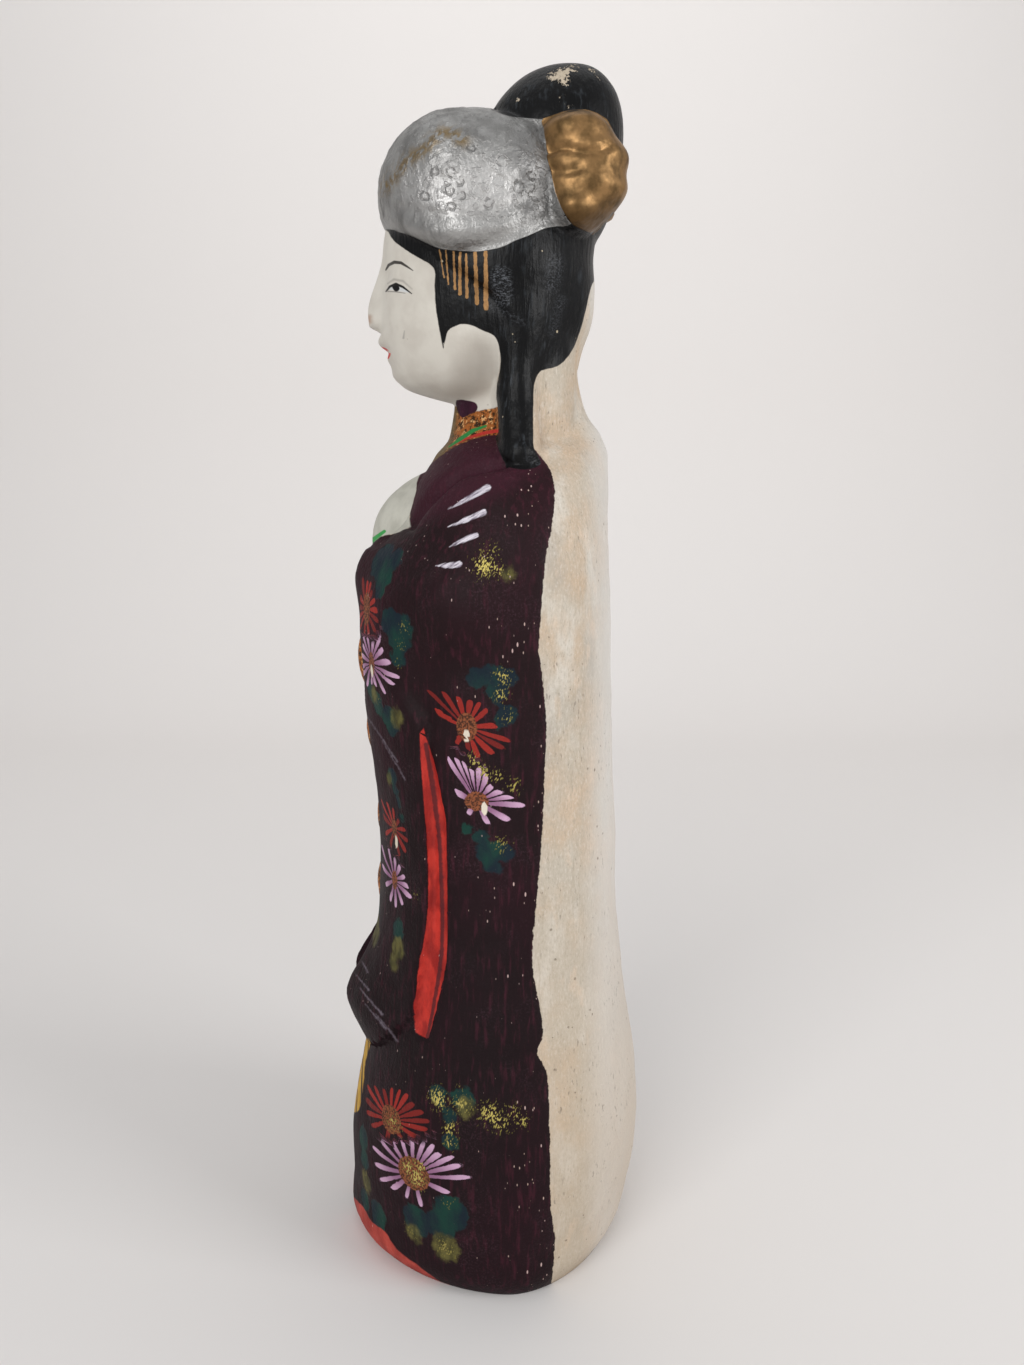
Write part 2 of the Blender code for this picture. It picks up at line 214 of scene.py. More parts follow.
BROCADE = (
    (506, 405), (495, 408), (480.6, 410.4), (468.8, 413), (459.5, 412), (455.5, 406), (445, 405), (440, 430),
    (425, 452), (425, 468), (437, 460), (451, 449), (468, 441), (483, 436), (506, 432),
)
LIPS_UPPER = (
    (372, 346), (380, 346.8), (384.5, 347.8), (388.6, 350.6), (385, 351.2), (378, 351.4), (370, 351),
)
LIPS_LOWER = ((384.6, 353.6), (390.6, 353.2), (389.8, 356.6), (388, 359.2), (386, 358.4))
LINING = (
    (421, 723), (419.6, 740), (420.5, 752), (422, 769), (424.5, 803), (427, 838), (428, 872), (428, 907),
    (424.5, 941), (419, 964), (416, 996), (413.5, 1003), (415, 1031), (419, 1036), (428, 1038.5),
    (431, 1030), (437, 1005), (446, 964), (447, 941), (447, 872), (446, 820), (441, 795), (438, 776),
    (433, 758), (428, 742), (424, 728),
)
HEM = (
    (340, 1202), (361, 1203), (373, 1221), (386, 1231), (396, 1248), (418, 1265), (442, 1282), (453, 1290),
    (440, 1330), (340, 1330),
)
YELLOW_STRIP = ((340, 1040), (370.5, 1038), (367, 1060), (364, 1089), (361.5, 1108), (355, 1112), (340, 1100))
BUN_CHIPS = (
    (560, 75, 7.5), (568, 70, 6), (573, 67, 4), (552, 77, 4.5), (564, 82, 4.5), (593, 71, 3.6),
    (597, 76, 2.6), (517.6, 100, 2.6), (561, 98.6, 2.4), (569, 108, 3),
)

# Pressed lines: their course in the picture, depth, and half width
KNOT_FOLDS = (
    (((549, 152), (562, 147), (580, 150), (596, 151), (609, 146)), 1.1, 1.0),
    (((553, 170), (565, 172), (580, 168)), 0.7, 0.9),
)
GROOVES = (
    (((505, 464), (497, 465.5), (464, 473), (448, 484), (432, 499), (421, 512), (411, 526)), 1.9, 1.0),
    (((445, 540), (424, 556), (405, 580)), 0.5, 2.2),
    (((452, 556), (430, 585), (404, 615)), 0.5, 2.4),
    (((449, 596), (425, 632), (400, 660)), 0.35, 2.6),
)
CAP_FOLD = ((395, 222), (440, 232), (500, 226), (556, 206))
CAP_HOLLOW = ((400, 208), (440, 214), (500, 208), (552, 188))
LINING_CREASE = (
    (426, 745), (430, 770), (434, 800), (439, 850), (441, 905), (441, 950), (436, 985), (431, 1015),
    (427, 1036),
)

# Motifs of the robe, in points of the picture
LEAF_GREENS = (
    (382, 560, 12), (395, 560, 8), (385, 577, 9), (382, 588, 7), (390.5, 621, 8.5), (403, 627, 10),
    (400, 641, 10), (399, 658, 7.5), (371, 689, 7), (378, 703, 8), (389, 717, 8), (393, 727, 6),
    (477.5, 677.5, 11), (491.5, 675, 11), (508, 677.5, 10), (497, 691.5, 11), (508, 714, 10), (500, 722, 7),
    (467, 828.5, 6), (480.7, 837, 8), (490, 854, 13), (503.7, 851.5, 10), (494.5, 866, 8),
    (393.5, 775.8, 6), (397, 789.5, 4), (400, 803, 3), (402, 818, 3), (380, 908, 5), (399, 929.6, 7),
    (438.8, 1094, 8), (464, 1099, 11), (450.9, 1115.7, 7), (450.9, 1141, 8), (417, 1220, 11),
    (450.9, 1212.7, 14), (441, 1225, 11), (363.6, 1137.5, 8), (364.8, 1159, 7), (366, 1198, 7),
    (379.4, 1212.6, 8.5), (380.6, 1224.8, 6),
)
LEAF_OLIVES = (
    (397.5, 717, 6), (375, 695, 5), (377.4, 925, 8), (377.4, 936.5, 6), (399, 948, 6.5), (394.6, 961.7, 5),
    (391, 779, 3.5), (446, 1246.6, 10), (414.5, 1232, 6), (466, 1107, 8), (367, 1181, 7), (508, 574, 6),
)
GOLD_DUST = (
    (484, 566, 13, 1.0), (490, 551, 11, 0.55), (476, 560, 9, 0.5), (497, 571, 9, 0.75), (507, 574, 7, 0.5),
    (503, 677, 10, 0.8), (501, 694, 9, 0.8), (507, 716, 8, 0.7), (405, 627, 7, 0.7), (402, 645, 7, 0.45),
    (399, 664, 6, 0.4), (474, 760, 8, 0.8), (486, 774, 9, 0.8), (480, 766, 7, 0.7), (497, 776, 7, 0.8),
    (514, 786, 8, 0.75), (502, 843, 9, 0.7), (439, 1098, 12, 1.0), (462, 1105, 11, 0.8),
    (451, 1128, 8, 1.0), (451, 1142, 7, 0.9), (490, 1113, 12, 0.9), (500, 1122, 11, 0.8),
    (512, 1112, 9, 0.7), (522, 1120, 8, 0.8), (408, 1166, 11, 0.85), (418, 1178, 12, 0.9),
    (421, 1166, 10, 0.85), (393, 1122, 10, 0.75), (400, 1130, 7, 0.6), (411, 1230, 9, 0.5),
    (446, 1247, 12, 0.7), (450, 1203, 9, 0.4), (366, 1170, 8, 0.5), (367, 1186, 8, 0.5),
    (415, 893, 9, 0.35), (461, 1087, 5, 0.4), (380, 700, 6, 0.3),
)
RED = 0.0
PINK = 1.0
# Chrysanthemums: middle, colour, half width and half height of the disc, drop, then the tip of each petal
FLOWERS = (
    ((467, 727), RED, 9.5, 15, (466.9, 735.5), (
        (425.6, 688), (443.3, 691), (458.6, 697), (471, 700), (480.3, 702), (487, 708), (495, 726),
        (511, 741), (506, 749.5), (493, 753), (477.5, 757.5), (469, 750.5), (458.5, 744), (436.5, 708))),
    ((477, 801), PINK, 11, 10, (484.6, 808.4), (
        (448, 755.3), (456.3, 757.7), (464.5, 762.4), (471, 770), (479.5, 767), (487, 774), (491.5, 786),
        (501, 790.7), (513, 796.6), (527, 803.7), (508, 820), (489.3, 824), (469.3, 813.5), (456.3, 790.7))),
    ((368, 609), RED, 7, 17, None, (
        (363.5, 576), (368.8, 582), (374, 590.6), (376.5, 600), (379, 610.7), (381, 622), (378.5, 633),
        (371, 640))),
    ((372.5, 663), PINK, 6, 12, (372.8, 671), (
        (362.6, 629), (368, 634), (374.8, 641.4), (383, 649.6), (391.4, 661.4), (403.2, 679), (396, 683),
        (386.6, 693.3), (376, 684))),
    ((395, 828), RED, 5.5, 11, (397.3, 841.5), (
        (382, 799), (388, 803), (394, 808.4), (400, 820), (406.7, 829.7), (409.5, 841), (407, 852.5),
        (400.8, 857), (391, 846), (386.5, 834), (384, 814))),
    ((395, 880), PINK, 6, 10, None, (
        (383, 845), (389.4, 847.4), (395.4, 857), (400.5, 865), (405.5, 876.9), (409, 886.3), (412.6, 897),
        (403.2, 905.2), (396, 908.8), (390.5, 902), (386.4, 884), (383.5, 865))),
    ((391.5, 1119), RED, 14, 14, None, (
        (369, 1085), (375.8, 1086), (384.7, 1088.2), (392.5, 1088.2), (400.3, 1090.4), (408, 1093.8),
        (414.8, 1102.7), (424.9, 1110.5), (433.8, 1120.5), (428.2, 1129), (419, 1137), (405, 1141),
        (388, 1138), (372, 1125), (368, 1112), (366.5, 1098))),
    ((414, 1173), PINK, 18, 17, None, (
        (372.4, 1145), (380.2, 1137.3), (391.4, 1139), (402.5, 1137.3), (413, 1137.3), (424.9, 1141.7),
        (433.8, 1144), (440.5, 1153), (453.9, 1155), (462.8, 1164), (474, 1176.3), (449.4, 1191),
        (421.5, 1205.4), (407, 1197.5), (392, 1188), (380, 1180), (375, 1163))),
)
PETAL_HALF_WIDTH = 0.86
PETAL_GAP = 0.2
OUT_OF_REACH = 9.0
OUT_OF_SIGHT = 20
# Silver strokes that fan from the elbow: thin end, broad end, broad half width
ELBOW_STROKES = (
    ((448.5, 510), (488, 488.5), 3.2),
    ((448.5, 527.5), (484, 513), 3.0),
    ((449, 546.5), (476, 535.5), 2.8),
    ((435.5, 565.5), (459, 564.6), 3.4),
)
SLEEVE_STROKES = (
    ((369, 717), (386.6, 744), 0.9), ((386.6, 744), (398.4, 761), 1.2), ((383, 740), (406.7, 779), 0.9),
    ((359.5, 956), (369, 972.5), 1.3), ((354.8, 972.5), (370, 990), 1.3), ((360.7, 988), (383, 1014), 1.5),
    ((366.6, 1004), (386.6, 1028), 1.3), ((380.7, 1018.5), (398.4, 1041), 1.3),
    ((377, 1014), (396, 1037), 1.1),
)
COMB_STROKES = (
    ((439.5, 250), (444, 277), 0.8), ((445.8, 250), (448.4, 284), 0.9), ((453.6, 252), (455, 289), 1.3),
    ((460, 253), (460, 294), 1.7), ((466.2, 254), (467, 297), 1.6), ((475, 252), (477, 303), 2.1),
    ((485.6, 252), (486, 308), 2.4),
)
TARNISH = ((384, 188), (396, 174), (410, 158), (424, 149), (444, 132), (462, 140))


def smooth_step(value, low, high):
    """0 below low, 1 above high, and smooth between."""
    share = np.clip((value - low) / (high - low), 0, 1)
    return share * share * (3 - 2 * share)


def bump(value, centre, wear_and_sheen_spread):
    """A bell of height 1."""
    return np.exp(-(((value - centre) / wear_and_sheen_spread) ** 2))


def join(first, second, blend):
    """Two fields joined with a fillet of about this size."""
    share = np.clip(0.5 + 0.5 * (second - first) / blend, 0, 1)
    return second + (first - second) * share - blend * share * (1 - share)


def overlap(first, second, blend):
    """What two fields share, with a rounded edge."""
    return -join(-first, -second, blend)


def curve(at, table, column=1):
    """A smooth line through one column of a table, read at each place."""
    rows = np.array(table, float)
    places, values = rows[:, 0], rows[:, column]
    slopes = np.gradient(values, places)
    low = np.clip(np.searchsorted(places, at) - 1, 0, len(places) - 2)
    width = places[low + 1] - places[low]
    t = np.clip((at - places[low]) / width, 0, 1)
    start, end = values[low], values[low + 1]
    rise_in, rise_out = slopes[low] * width, slopes[low + 1] * width
    cubic = (2 * t**3 - 3 * t**2 + 1) * start + (t**3 - 2 * t**2 + t) * rise_in
    return cubic + (3 * t**2 - 2 * t**3) * end + (t**3 - t**2) * rise_out


def section(x, y, half_width, front, back, middle, front_power, back_power):
    """Distance outside a rounded section that is widest at y = middle."""
    ahead = y < middle
    depth = np.where(ahead, middle - front, back - middle)
    power = np.where(ahead, front_power, back_power)
    reach = (np.abs(x) / half_width) ** power + (np.abs(y - middle) / depth) ** power
    reach = np.maximum(reach, 1e-6) ** (1 / power)
    return np.hypot(x, y - middle) * (1 - 1 / reach)


def egg(p, centre, side, front, back, up, down):
    """Distance outside an egg whose radii differ to the front, back, top and bottom."""
    x, y, z = (p - np.array(centre)).T
    rx, ry, rz = side, np.where(y < 0, front, back), np.where(z > 0, up, down)
    reach = np.sqrt((x / rx) ** 2 + (y / ry) ** 2 + (z / rz) ** 2)
    slope = np.sqrt((x / rx**2) ** 2 + (y / ry**2) ** 2 + (z / rz**2) ** 2)
    return reach * (reach - 1) / np.maximum(slope, 1e-6)


def rod(p, start, end, start_radius, end_radius):
    """Distance outside a round-ended rod that may taper."""
    start, axis = np.array(start, float), np.subtract(end, start).astype(float)
    share = np.clip((p - start) @ axis / (axis @ axis), 0, 1)
    radius = start_radius + share * (end_radius - start_radius)
    return np.linalg.norm(p - start - share[:, None] * axis, axis=1) - radius


def mirrored(p):
    """Both sides of the doll read as its left side."""
    return np.column_stack((np.abs(p[:, 0]), p[:, 1], p[:, 2]))


def frontness(x, y):
    """1 where the surface faces forward, 0 at the sides and behind."""
    return np.clip(-y / np.maximum(np.hypot(x, y), 1e-6), 0, 1)


def sleeve_reach(x, y, z):
    """How far inside the hanging sleeve's outline a point is."""
    back_edge = SLEEVE_BACK_EDGE - 4.5 * smooth_step(z, 95, 62)
    hem_slope = (SLEEVE_REAR_CORNER - SLEEVE_TIP) / 17
    hem = SLEEVE_TIP + hem_slope * np.clip(y + 36, 0, 20)
    side = overlap(y - back_edge, hem - z, 2.0)
    inner = curve(z, SLEEVE_INNER) - np.abs(x)
    return -overlap(overlap(side, inner, 1.5), z - SLEEVE_TOP - 6, 3.0)


def sleeve_relief(x, y, z):
    """The sleeves hang over the robe: thin at the back edge and full in front."""
    reach = sleeve_reach(x, y, z)
    full = SLEEVE_EDGE_THICKNESS + (curve(z, SLEEVE_FRONT) - SLEEVE_EDGE_THICKNESS) * frontness(x, y) ** 2
    full = full * (1 - 0.92 * smooth_step(z, 88, 66) * (1 - frontness(x, y) ** 2))
    fade = 1 - smooth_step(z, SLEEVE_TOP - 14, SLEEVE_TOP + 4)
    soft = EDGE_SOFTNESS + 9 * smooth_step(z, 140, 152)
    return full * fade * smooth_step(reach, -0.3 * EDGE_SOFTNESS, soft)


def robe_relief(x, y, z):
    """The open robe stands proud of the chest, with a pressed line along its collar."""
    opening = np.where(z > 183, curve(z, OPENING), -4.0)
    past_edge = np.where(y < 0, np.abs(x) - opening, 6.0)
    on_body = 1 - smooth_step(z, 206, 211)
    return ROBE_THICKNESS * smooth_step(past_edge, -0.5, 0.6 * EDGE_SOFTNESS) * on_body


def body(p):
    """Robe, sleeves, chest and the column of the neck."""
    x, y, z = p.T
    half_width, front, back, front_power, back_power = (curve(z, BODY, c) for c in range(1, 6))
    d = section(x, y, half_width, front, back, BODY_MIDDLE, front_power, back_power)
    d = d - sleeve_relief(x, y, z) - robe_relief(x, y, z)
    forearm = rod(mirrored(p), (29, -8, 171), (7, -25.5, 176), 9.4, 8.6)
    d = join(d, forearm, 10)
    chest = egg(p, (0, -15, 185), 15.5, 16.1, 10, 15.6, 12)
    chest = join(chest, egg(p, (0, -14, 192), 10, 9, 8, 10.5, 10), 3.0)
    return np.maximum(join(d, chest, 1.6), z - BODY[-1][0])


def sash(p):
    """The brocade ends that hang between the sleeves, as a row of soft lumps."""
    d = np.full(len(p), 50.0)
    for height in SASH_LUMPS:
        level = np.array([float(height)])
        front = curve(level, BODY, 2)[0] - curve(level, SLEEVE_FRONT)[0]
        lump = egg(p, (0, front + 3.7, height), SASH_HALF_WIDTH, 6.2, 6, 10.5, 10.5)
        d = join(d, lump, SASH_LUMP)
    return d


def face_relief(x, y, z):
    """Nose, lips, eye hollows and cheeks, as height over the plain face."""
    ahead = y < -8
    side = np.abs(x)
    ridge = 3.7 * smooth_step(z, 256, 241.0) * smooth_step(z, 236.2, 238.6)
    nose = ridge * bump(x, 0, 2.7 + 1.3 * smooth_step(z, 250, 240))
    wings = 0.8 * bump(side, 3.6, 1.4) * bump(z, 239.6, 1.5)
    upper_lip = 2.2 * bump(z, 234.4, 2.2) * bump(x, 0, 5.5)
    lower_lip = 0.75 * bump(z, 230.2, 1.3) * bump(x, 0, 3.4)
    mouth = -0.5 * bump(z, 232.0, 0.8) * bump(x, 0, 4.6)
    hollow = -1.15 * bump(side, 7.2, 4.6) * bump(z, 249.0, 4.4)
    lid = 0.55 * bump(side, 10.2, 4.4) * bump(z, 246.3, 2.0)
    cheek = 0.5 * bump(side, 11.5, 6) * bump(z, 237, 6)
    chin = 0.7 * bump(x, 0, 5.0) * bump(z, 226.2, 2.6)
    return np.where(ahead, nose + wings + upper_lip + lower_lip + mouth + hollow + lid + cheek + chin, 0)


def hair_reach(y, z):
    """How far inside the dressed hair a point at the head's side is, seen from the side."""
    temple = y + 13.2 - 2.2 * smooth_step(z, 250, 231)
    brow = z - (251.0 + 0.69 * (-13.0 - y))
    hairline = -overlap(-temple, -brow, 1.5)
    arch = z - (235.4 - 0.30 * (y + 4.6) ** 2 * (y < -4.6) - 0.16 * (y + 4.6) ** 2 * (y >= -4.6))
    behind = y - 1.4
    return -overlap(-hairline, -np.maximum(arch, behind), 0.8)


def hair(p):
    """Hair over the sides and back of the head, with the full roll at the nape."""
    x, y, z = p.T
    mass = egg(p, (0, 3.4, 250), 26.0, 30.0, 20.3, 30.0, 25.0)
    nape_line = 224.5 + 1.15 * np.clip(y - 4, 0, 30)
    lifted = overlap(mass, -np.minimum(hair_reach(y, z), z - nape_line + 3), 1.2)
    nape = section(x, y, 19.5, -2.0, 21.0, 6, 2.2, 2.6)
    return join(lifted, overlap(nape, z - 244, 6), 4.0)


def head(p):
    """Face and skull, with the side hair raised over the temple."""
    x, y, z = p.T
    columns = [curve(z, SKULL, c) for c in (1, 2, 3)]
    d = section(x, y, *columns, SKULL_MIDDLE, SKULL_FRONT_POWER, SKULL_BACK_POWER)
    d = np.where(z < SKULL[0][0], np.maximum(d, SKULL[0][0] - z), d)
    d = np.where(z > SKULL[-1][0], np.maximum(d, z - SKULL[-1][0]), d)
    raised = 1.0 * smooth_step(hair_reach(y, z), -0.4, 0.6) * smooth_step(z, 222, 228)
    return d - face_relief(x, y, z) - raised


def locks(p):
    """The lock of hair that hangs beside the neck on each side, down to the shoulder."""
    upper = rod(mirrored(p), (18.0, 6.0, 236), (18.6, 5.8, 220), 5.4, 4.6)
    lower = rod(mirrored(p), (18.6, 5.8, 220), (23.0, 6.6, 205.6), 4.6, 4.9)
    return join(upper, lower, 1.5)


def cap(p):
    """The padded headcloth, full at its lower edge and cut off along it."""
    x, y, z = p.T
    low = smooth_step(z, 266, 252)
    ahead = np.minimum(y - CAP_CENTRE[1], 0)
    fuller = np.column_stack((x / (1 + 0.09 * low), y + ahead * 0.16 * low, z))
    cloth = egg(fuller, CAP_CENTRE, 28.8, 20.9, 32.0, 19.6, 33.0)
    cloth = overlap(cloth, y - CAP_BACK_END, 3.0)
    return overlap(cloth, curve(y, CAP_EDGE) - z, 2.6)


def knots(p):
    """The gathered knot of cloth at each side behind the cap."""
    left = mirrored(p)
    left[:, 2] -= FAR_KNOT_RISE * smooth_step(-p[:, 0], 0, 6) * smooth_step(p[:, 2], 276, 262)
    d = egg(left, (13.5, 20.5, 270), 10.5, 9.5, 9.5, 12.0, 13.0)
    for height, depth, half_depth, half_height in KNOT_TIERS:
        tier = egg(left, (16.5, depth, height), 9.0, half_depth, half_depth, half_height, half_height)
        d = join(d, tier, 3.4)
    return d


def bun(p):
    """The smooth bun that rises behind the cap."""
    low = egg(p, (0, 17.0, 280), 17.4, 19.6, 14.6, 18.6, 26.0)
    crest = egg(p, (0, 20.0, 286.6), 14.2, 16.3, 11.4, 12.8, 16.0)
    return overlap(join(low, crest, 3.0), p[:, 2] - BUN_TOP, 3.5)


def doll(p):
    """The whole surface as one field: negative inside, in parts."""
    d = join(body(p), head(p), 1.6)
    d = join(d, hair(p), 0.6)
    d = join(d, locks(p), 0.8 + 6 * smooth_step(p[:, 2], 221, 233))
    d = join(d, sash(p), 0.8)
    d = join(d, cap(p), 0.4)
    d = join(d, bun(p), 0.8)
    return join(d, knots(p), 0.8)


def surface(origins, rays):
    """The outermost point of the doll along each ray, by walking inwards and then halving."""
    reach = np.full(len(rays), FAR)
    step = np.zeros(len(rays))
    walking = np.arange(len(rays))
    while len(walking):
        gap = doll(origins[walking] + rays[walking] * reach[walking, None])
        still = (gap > 0) & (reach[walking] > 0)
        walking = walking[still]
        step[walking] = np.clip(0.5 * gap[still], 0.3, 6.0)
        reach[walking] -= step[walking]
    low, high = reach, reach + step
    for _ in range(9):
        middle = (low + high) / 2
        within = doll(origins + rays * middle[:, None]) < 0
        low, high = np.where(within, middle, low), np.where(within, high, middle)
    return origins + rays * ((low + high) / 2)[:, None]


def ray_grid():
    """Origins and directions of all rays, row by row, with more of them in front."""
    heights = np.concatenate(
        (
            np.linspace(0, CHEST, ROBE_ROWS, endpoint=False),
            np.linspace(CHEST, CHIN, CHEST_ROWS, endpoint=False),
            np.linspace(CHIN, EYES, FACE_ROWS, endpoint=False),
            np.linspace(EYES, CROWN, TEMPLE_ROWS, endpoint=False),
            np.full(CROWN_ROWS + 1, CROWN),
        )
    )
    tilts = np.zeros(len(heights))
    tilts[-CROWN_ROWS - 1 :] = np.linspace(0, np.pi / 2, CROWN_ROWS + 1)
    turn = np.arange(COLUMNS) * 2 * np.pi / COLUMNS
    angle = np.tile(turn - FRONT_CROWDING * np.sin(turn), len(heights))
    height, tilt = np.repeat(heights, COLUMNS), np.repeat(tilts, COLUMNS)
    rays = np.column_stack((np.sin(angle) * np.cos(tilt), -np.cos(angle) * np.cos(tilt), np.sin(tilt)))
    setback = 8.0 * smooth_step(height, EYES, CROWN)
    return np.column_stack((np.zeros(len(height)), setback, height)), rays, len(heights)


# Reading the picture of the left side


def depth_from_eye(p):
    """Distance from the eye along its line of sight."""
    away = p - EYE
    return -away[:, 0] * np.cos(EYE_SLOPE) - away[:, 2] * np.sin(EYE_SLOPE)


def in_picture(p):
    """Where places on the doll stand in the picture of its left side. Both sides read alike."""
    left = mirrored(p)
    away = left - EYE
    rise = away[:, 2] * np.cos(EYE_SLOPE) - away[:, 0] * np.sin(EYE_SLOPE)
    depth = depth_from_eye(left)
    across = PICTURE_WIDE / 2 + FOCUS * away[:, 1] / depth
    return np.column_stack((across, PICTURE_HIGH / 2 - FOCUS * rise / depth))


def on_doll(places):
    """The places on the doll's left side that show at these points of the picture."""
    right = (np.array(places, float)[:, 0] - PICTURE_WIDE / 2) / FOCUS
    up = (PICTURE_HIGH / 2 - np.array(places, float)[:, 1]) / FOCUS
    ahead = np.array((-np.cos(EYE_SLOPE), 0, -np.sin(EYE_SLOPE)))
    above = np.array((-np.sin(EYE_SLOPE), 0, np.cos(EYE_SLOPE)))
    sight = ahead + up[:, None] * above + right[:, None] * np.array((0, 1.0, 0))
    sight /= np.linalg.norm(sight, axis=1)[:, None]
    travelled = np.full(len(sight), 200.0)
    nearest = np.full(len(sight), np.inf)
    best = travelled.copy()
    for _ in range(160):
        gap = doll(EYE + sight * travelled[:, None])
        closer = gap < nearest
        nearest, best = np.where(closer, gap, nearest), np.where(closer, travelled, best)
        travelled = travelled + np.where(nearest > 0.02, np.clip(0.5 * gap, 0.1, 8), 0)
    return EYE + sight * best[:, None]


def facing(p):
    """The direction that the doll's surface faces at each place."""
    reach = 0.8
    slopes = [doll(p + step) - doll(p - step) for step in np.eye(3) * reach]
    slopes = np.column_stack(slopes)
    return slopes / np.linalg.norm(slopes, axis=1)[:, None]


def rounded(outline, closed=True, steps=3):
    """More points along a smooth line through an outline's own."""
    points = np.array(outline, float)
    if closed:
        before, after, end = np.roll(points, 1, 0), np.roll(points, -2, 0), np.roll(points, -1, 0)
        start = points
    else:
        start, end = points[:-1], points[1:]
        before, after = np.vstack((points[:1], points[:-2])), np.vstack((points[2:], points[-1:]))
    made = []
    for t in np.arange(steps) / steps:
        bend = 2 * start + (end - before) * t + (2 * before - 5 * start + 4 * end - after) * t**2
        made.append((bend + (3 * start - before - 3 * end + after) * t**3) / 2)
    ordered = np.stack(made, axis=1).reshape(-1, 2)
    return ordered if closed else np.vstack((ordered, points[-1:]))


def from_line(at, line):
    """Distance in picture points from a line of several stretches."""
    nearest = np.full(len(at), np.inf)
    for start, end in zip(line[:-1], line[1:], strict=True):
        along = end - start
        share = np.clip((at - start) @ along / (along @ along), 0, 1)
        nearest = np.minimum(nearest, np.linalg.norm(at - start - share[:, None] * along, axis=1))
    return nearest


def pressed(at, course, half_width):
    """A bell across a line that is drawn in the picture, with its half width in parts."""
    return bump(from_line(at, rounded(course, False)) * PICTURE_POINT, 0, half_width)


def inside(at, outline, smooth=True):
    """How far inside a closed outline each place is, in picture points."""
    line = rounded(outline) if smooth else np.array(outline, float)
    line = np.vstack((line, line[:1]))
    within = np.zeros(len(at), bool)
    for start, end in zip(line[:-1], line[1:], strict=True):
        if start[1] == end[1]:
            continue
        crosses = (start[1] > at[:, 1]) != (end[1] > at[:, 1])
        edge = start[0] + (at[:, 1] - start[1]) * (end[0] - start[0]) / (end[1] - start[1])
        within ^= crosses & (at[:, 0] < edge)
    return np.where(within, 1, -1) * from_line(at, line)


def blobs(p, spots, rounds):
    """How far inside the nearest of several round spots each place is, in parts."""
    reach = np.full(len(p), -OUT_OF_REACH)
    left = mirrored(p)
    for spot, size in zip(spots, rounds, strict=True):
        reach = np.maximum(reach, size - np.linalg.norm(left - spot, axis=1))
    return reach


def lumpy(p, scale, seed=0.0):
    """Soft unevenness between about -1 and 1."""
    shift = Vector((seed, seed * 1.7, -seed))
    return np.array([noise.noise(Vector(place) / scale + shift) for place in p])


# Fine carving, laid on along the way the surface faces


def cap_relief(p, picture):
    """Small lumps of the headcloth's pattern, and the smooth fold low down."""
    clear = smooth_step(knots(p), 0.4, 1.6) * smooth_step(bun(p), 0.4, 1.6)
    on_cap = smooth_step(1.2 - cap(p), 0, 0.8) * clear
    busy = on_cap * smooth_step(picture[:, 1], 236, 214) * smooth_step(picture[:, 0], 560, 515)
    chosen = np.flatnonzero(busy > 0.02)
    made = np.zeros(len(p))
    for place in chosen:
        spot = Vector(p[place]) / 3.6
        made[place] = 0.30 * noise.noise(spot * 0.95 + Vector((3, 8, 1))) + 0.16 * noise.noise(spot * 2.3)
    fold = 0.55 * pressed(picture, CAP_FOLD, 1.75) - 0.5 * pressed(picture, CAP_HOLLOW, 1.5)
    return busy * made + on_cap * fold * 0.8


def knot_relief(p, picture):
    """Pinched folds of the gathered cloth."""
    near = smooth_step(1.4 - knots(p), 0, 1.0)
    made = np.zeros(len(p))
    for place in np.flatnonzero(near > 0.02):
        spot = Vector(p[place])
        soft = Vector((spot.x / 9, spot.y / 8, spot.z / 5.2))
        made[place] = 0.5 * noise.noise(soft) + 0.08 * noise.noise(spot / 2.4)
    return near * (made + groove_relief(picture, KNOT_FOLDS))


def groove_relief(picture, grooves):
    """Pressed lines, such as those of the collar and of the creases at the elbow."""
    made = np.zeros(len(picture))
    for course, deep, half_width in grooves:
        made -= deep * pressed(picture, course, half_width)
    return made


def relief(p, picture, robe_edge, lining):
    """All the fine carving together."""
    x, y, z = p.T
    side = y < 16
    low = smooth_step(z, 210, 204)
    behind = smooth_step(y, -6, 4)
    step_back = low * (0.35 - 0.6 * behind * smooth_step(robe_edge, 1.5, -2.5)) * (z > 0.5)
    slit = -1.0 * smooth_step(lining, -1.5, 2.5) * side
    ridge = 0.5 * pressed(picture, LINING_CREASE, 0.45) * smooth_step(lining, 0, 2)
    uneven = 0.35 * (lumpy(p, 17.0) - 0.1) + 0.14 * lumpy(p, 5.0, 3.0)
    pits = -0.10 * smooth_step(lumpy(p, 1.9, 5.0), 0.25, 0.55)
    smoother = 0.35 + 0.65 * low
    made = step_back + (slit + ridge) * side + (uneven + pits) * smoother
    made += groove_relief(picture, GROOVES) * (y < 12) * low
    return made + cap_relief(p, picture) + knot_relief(p, picture)


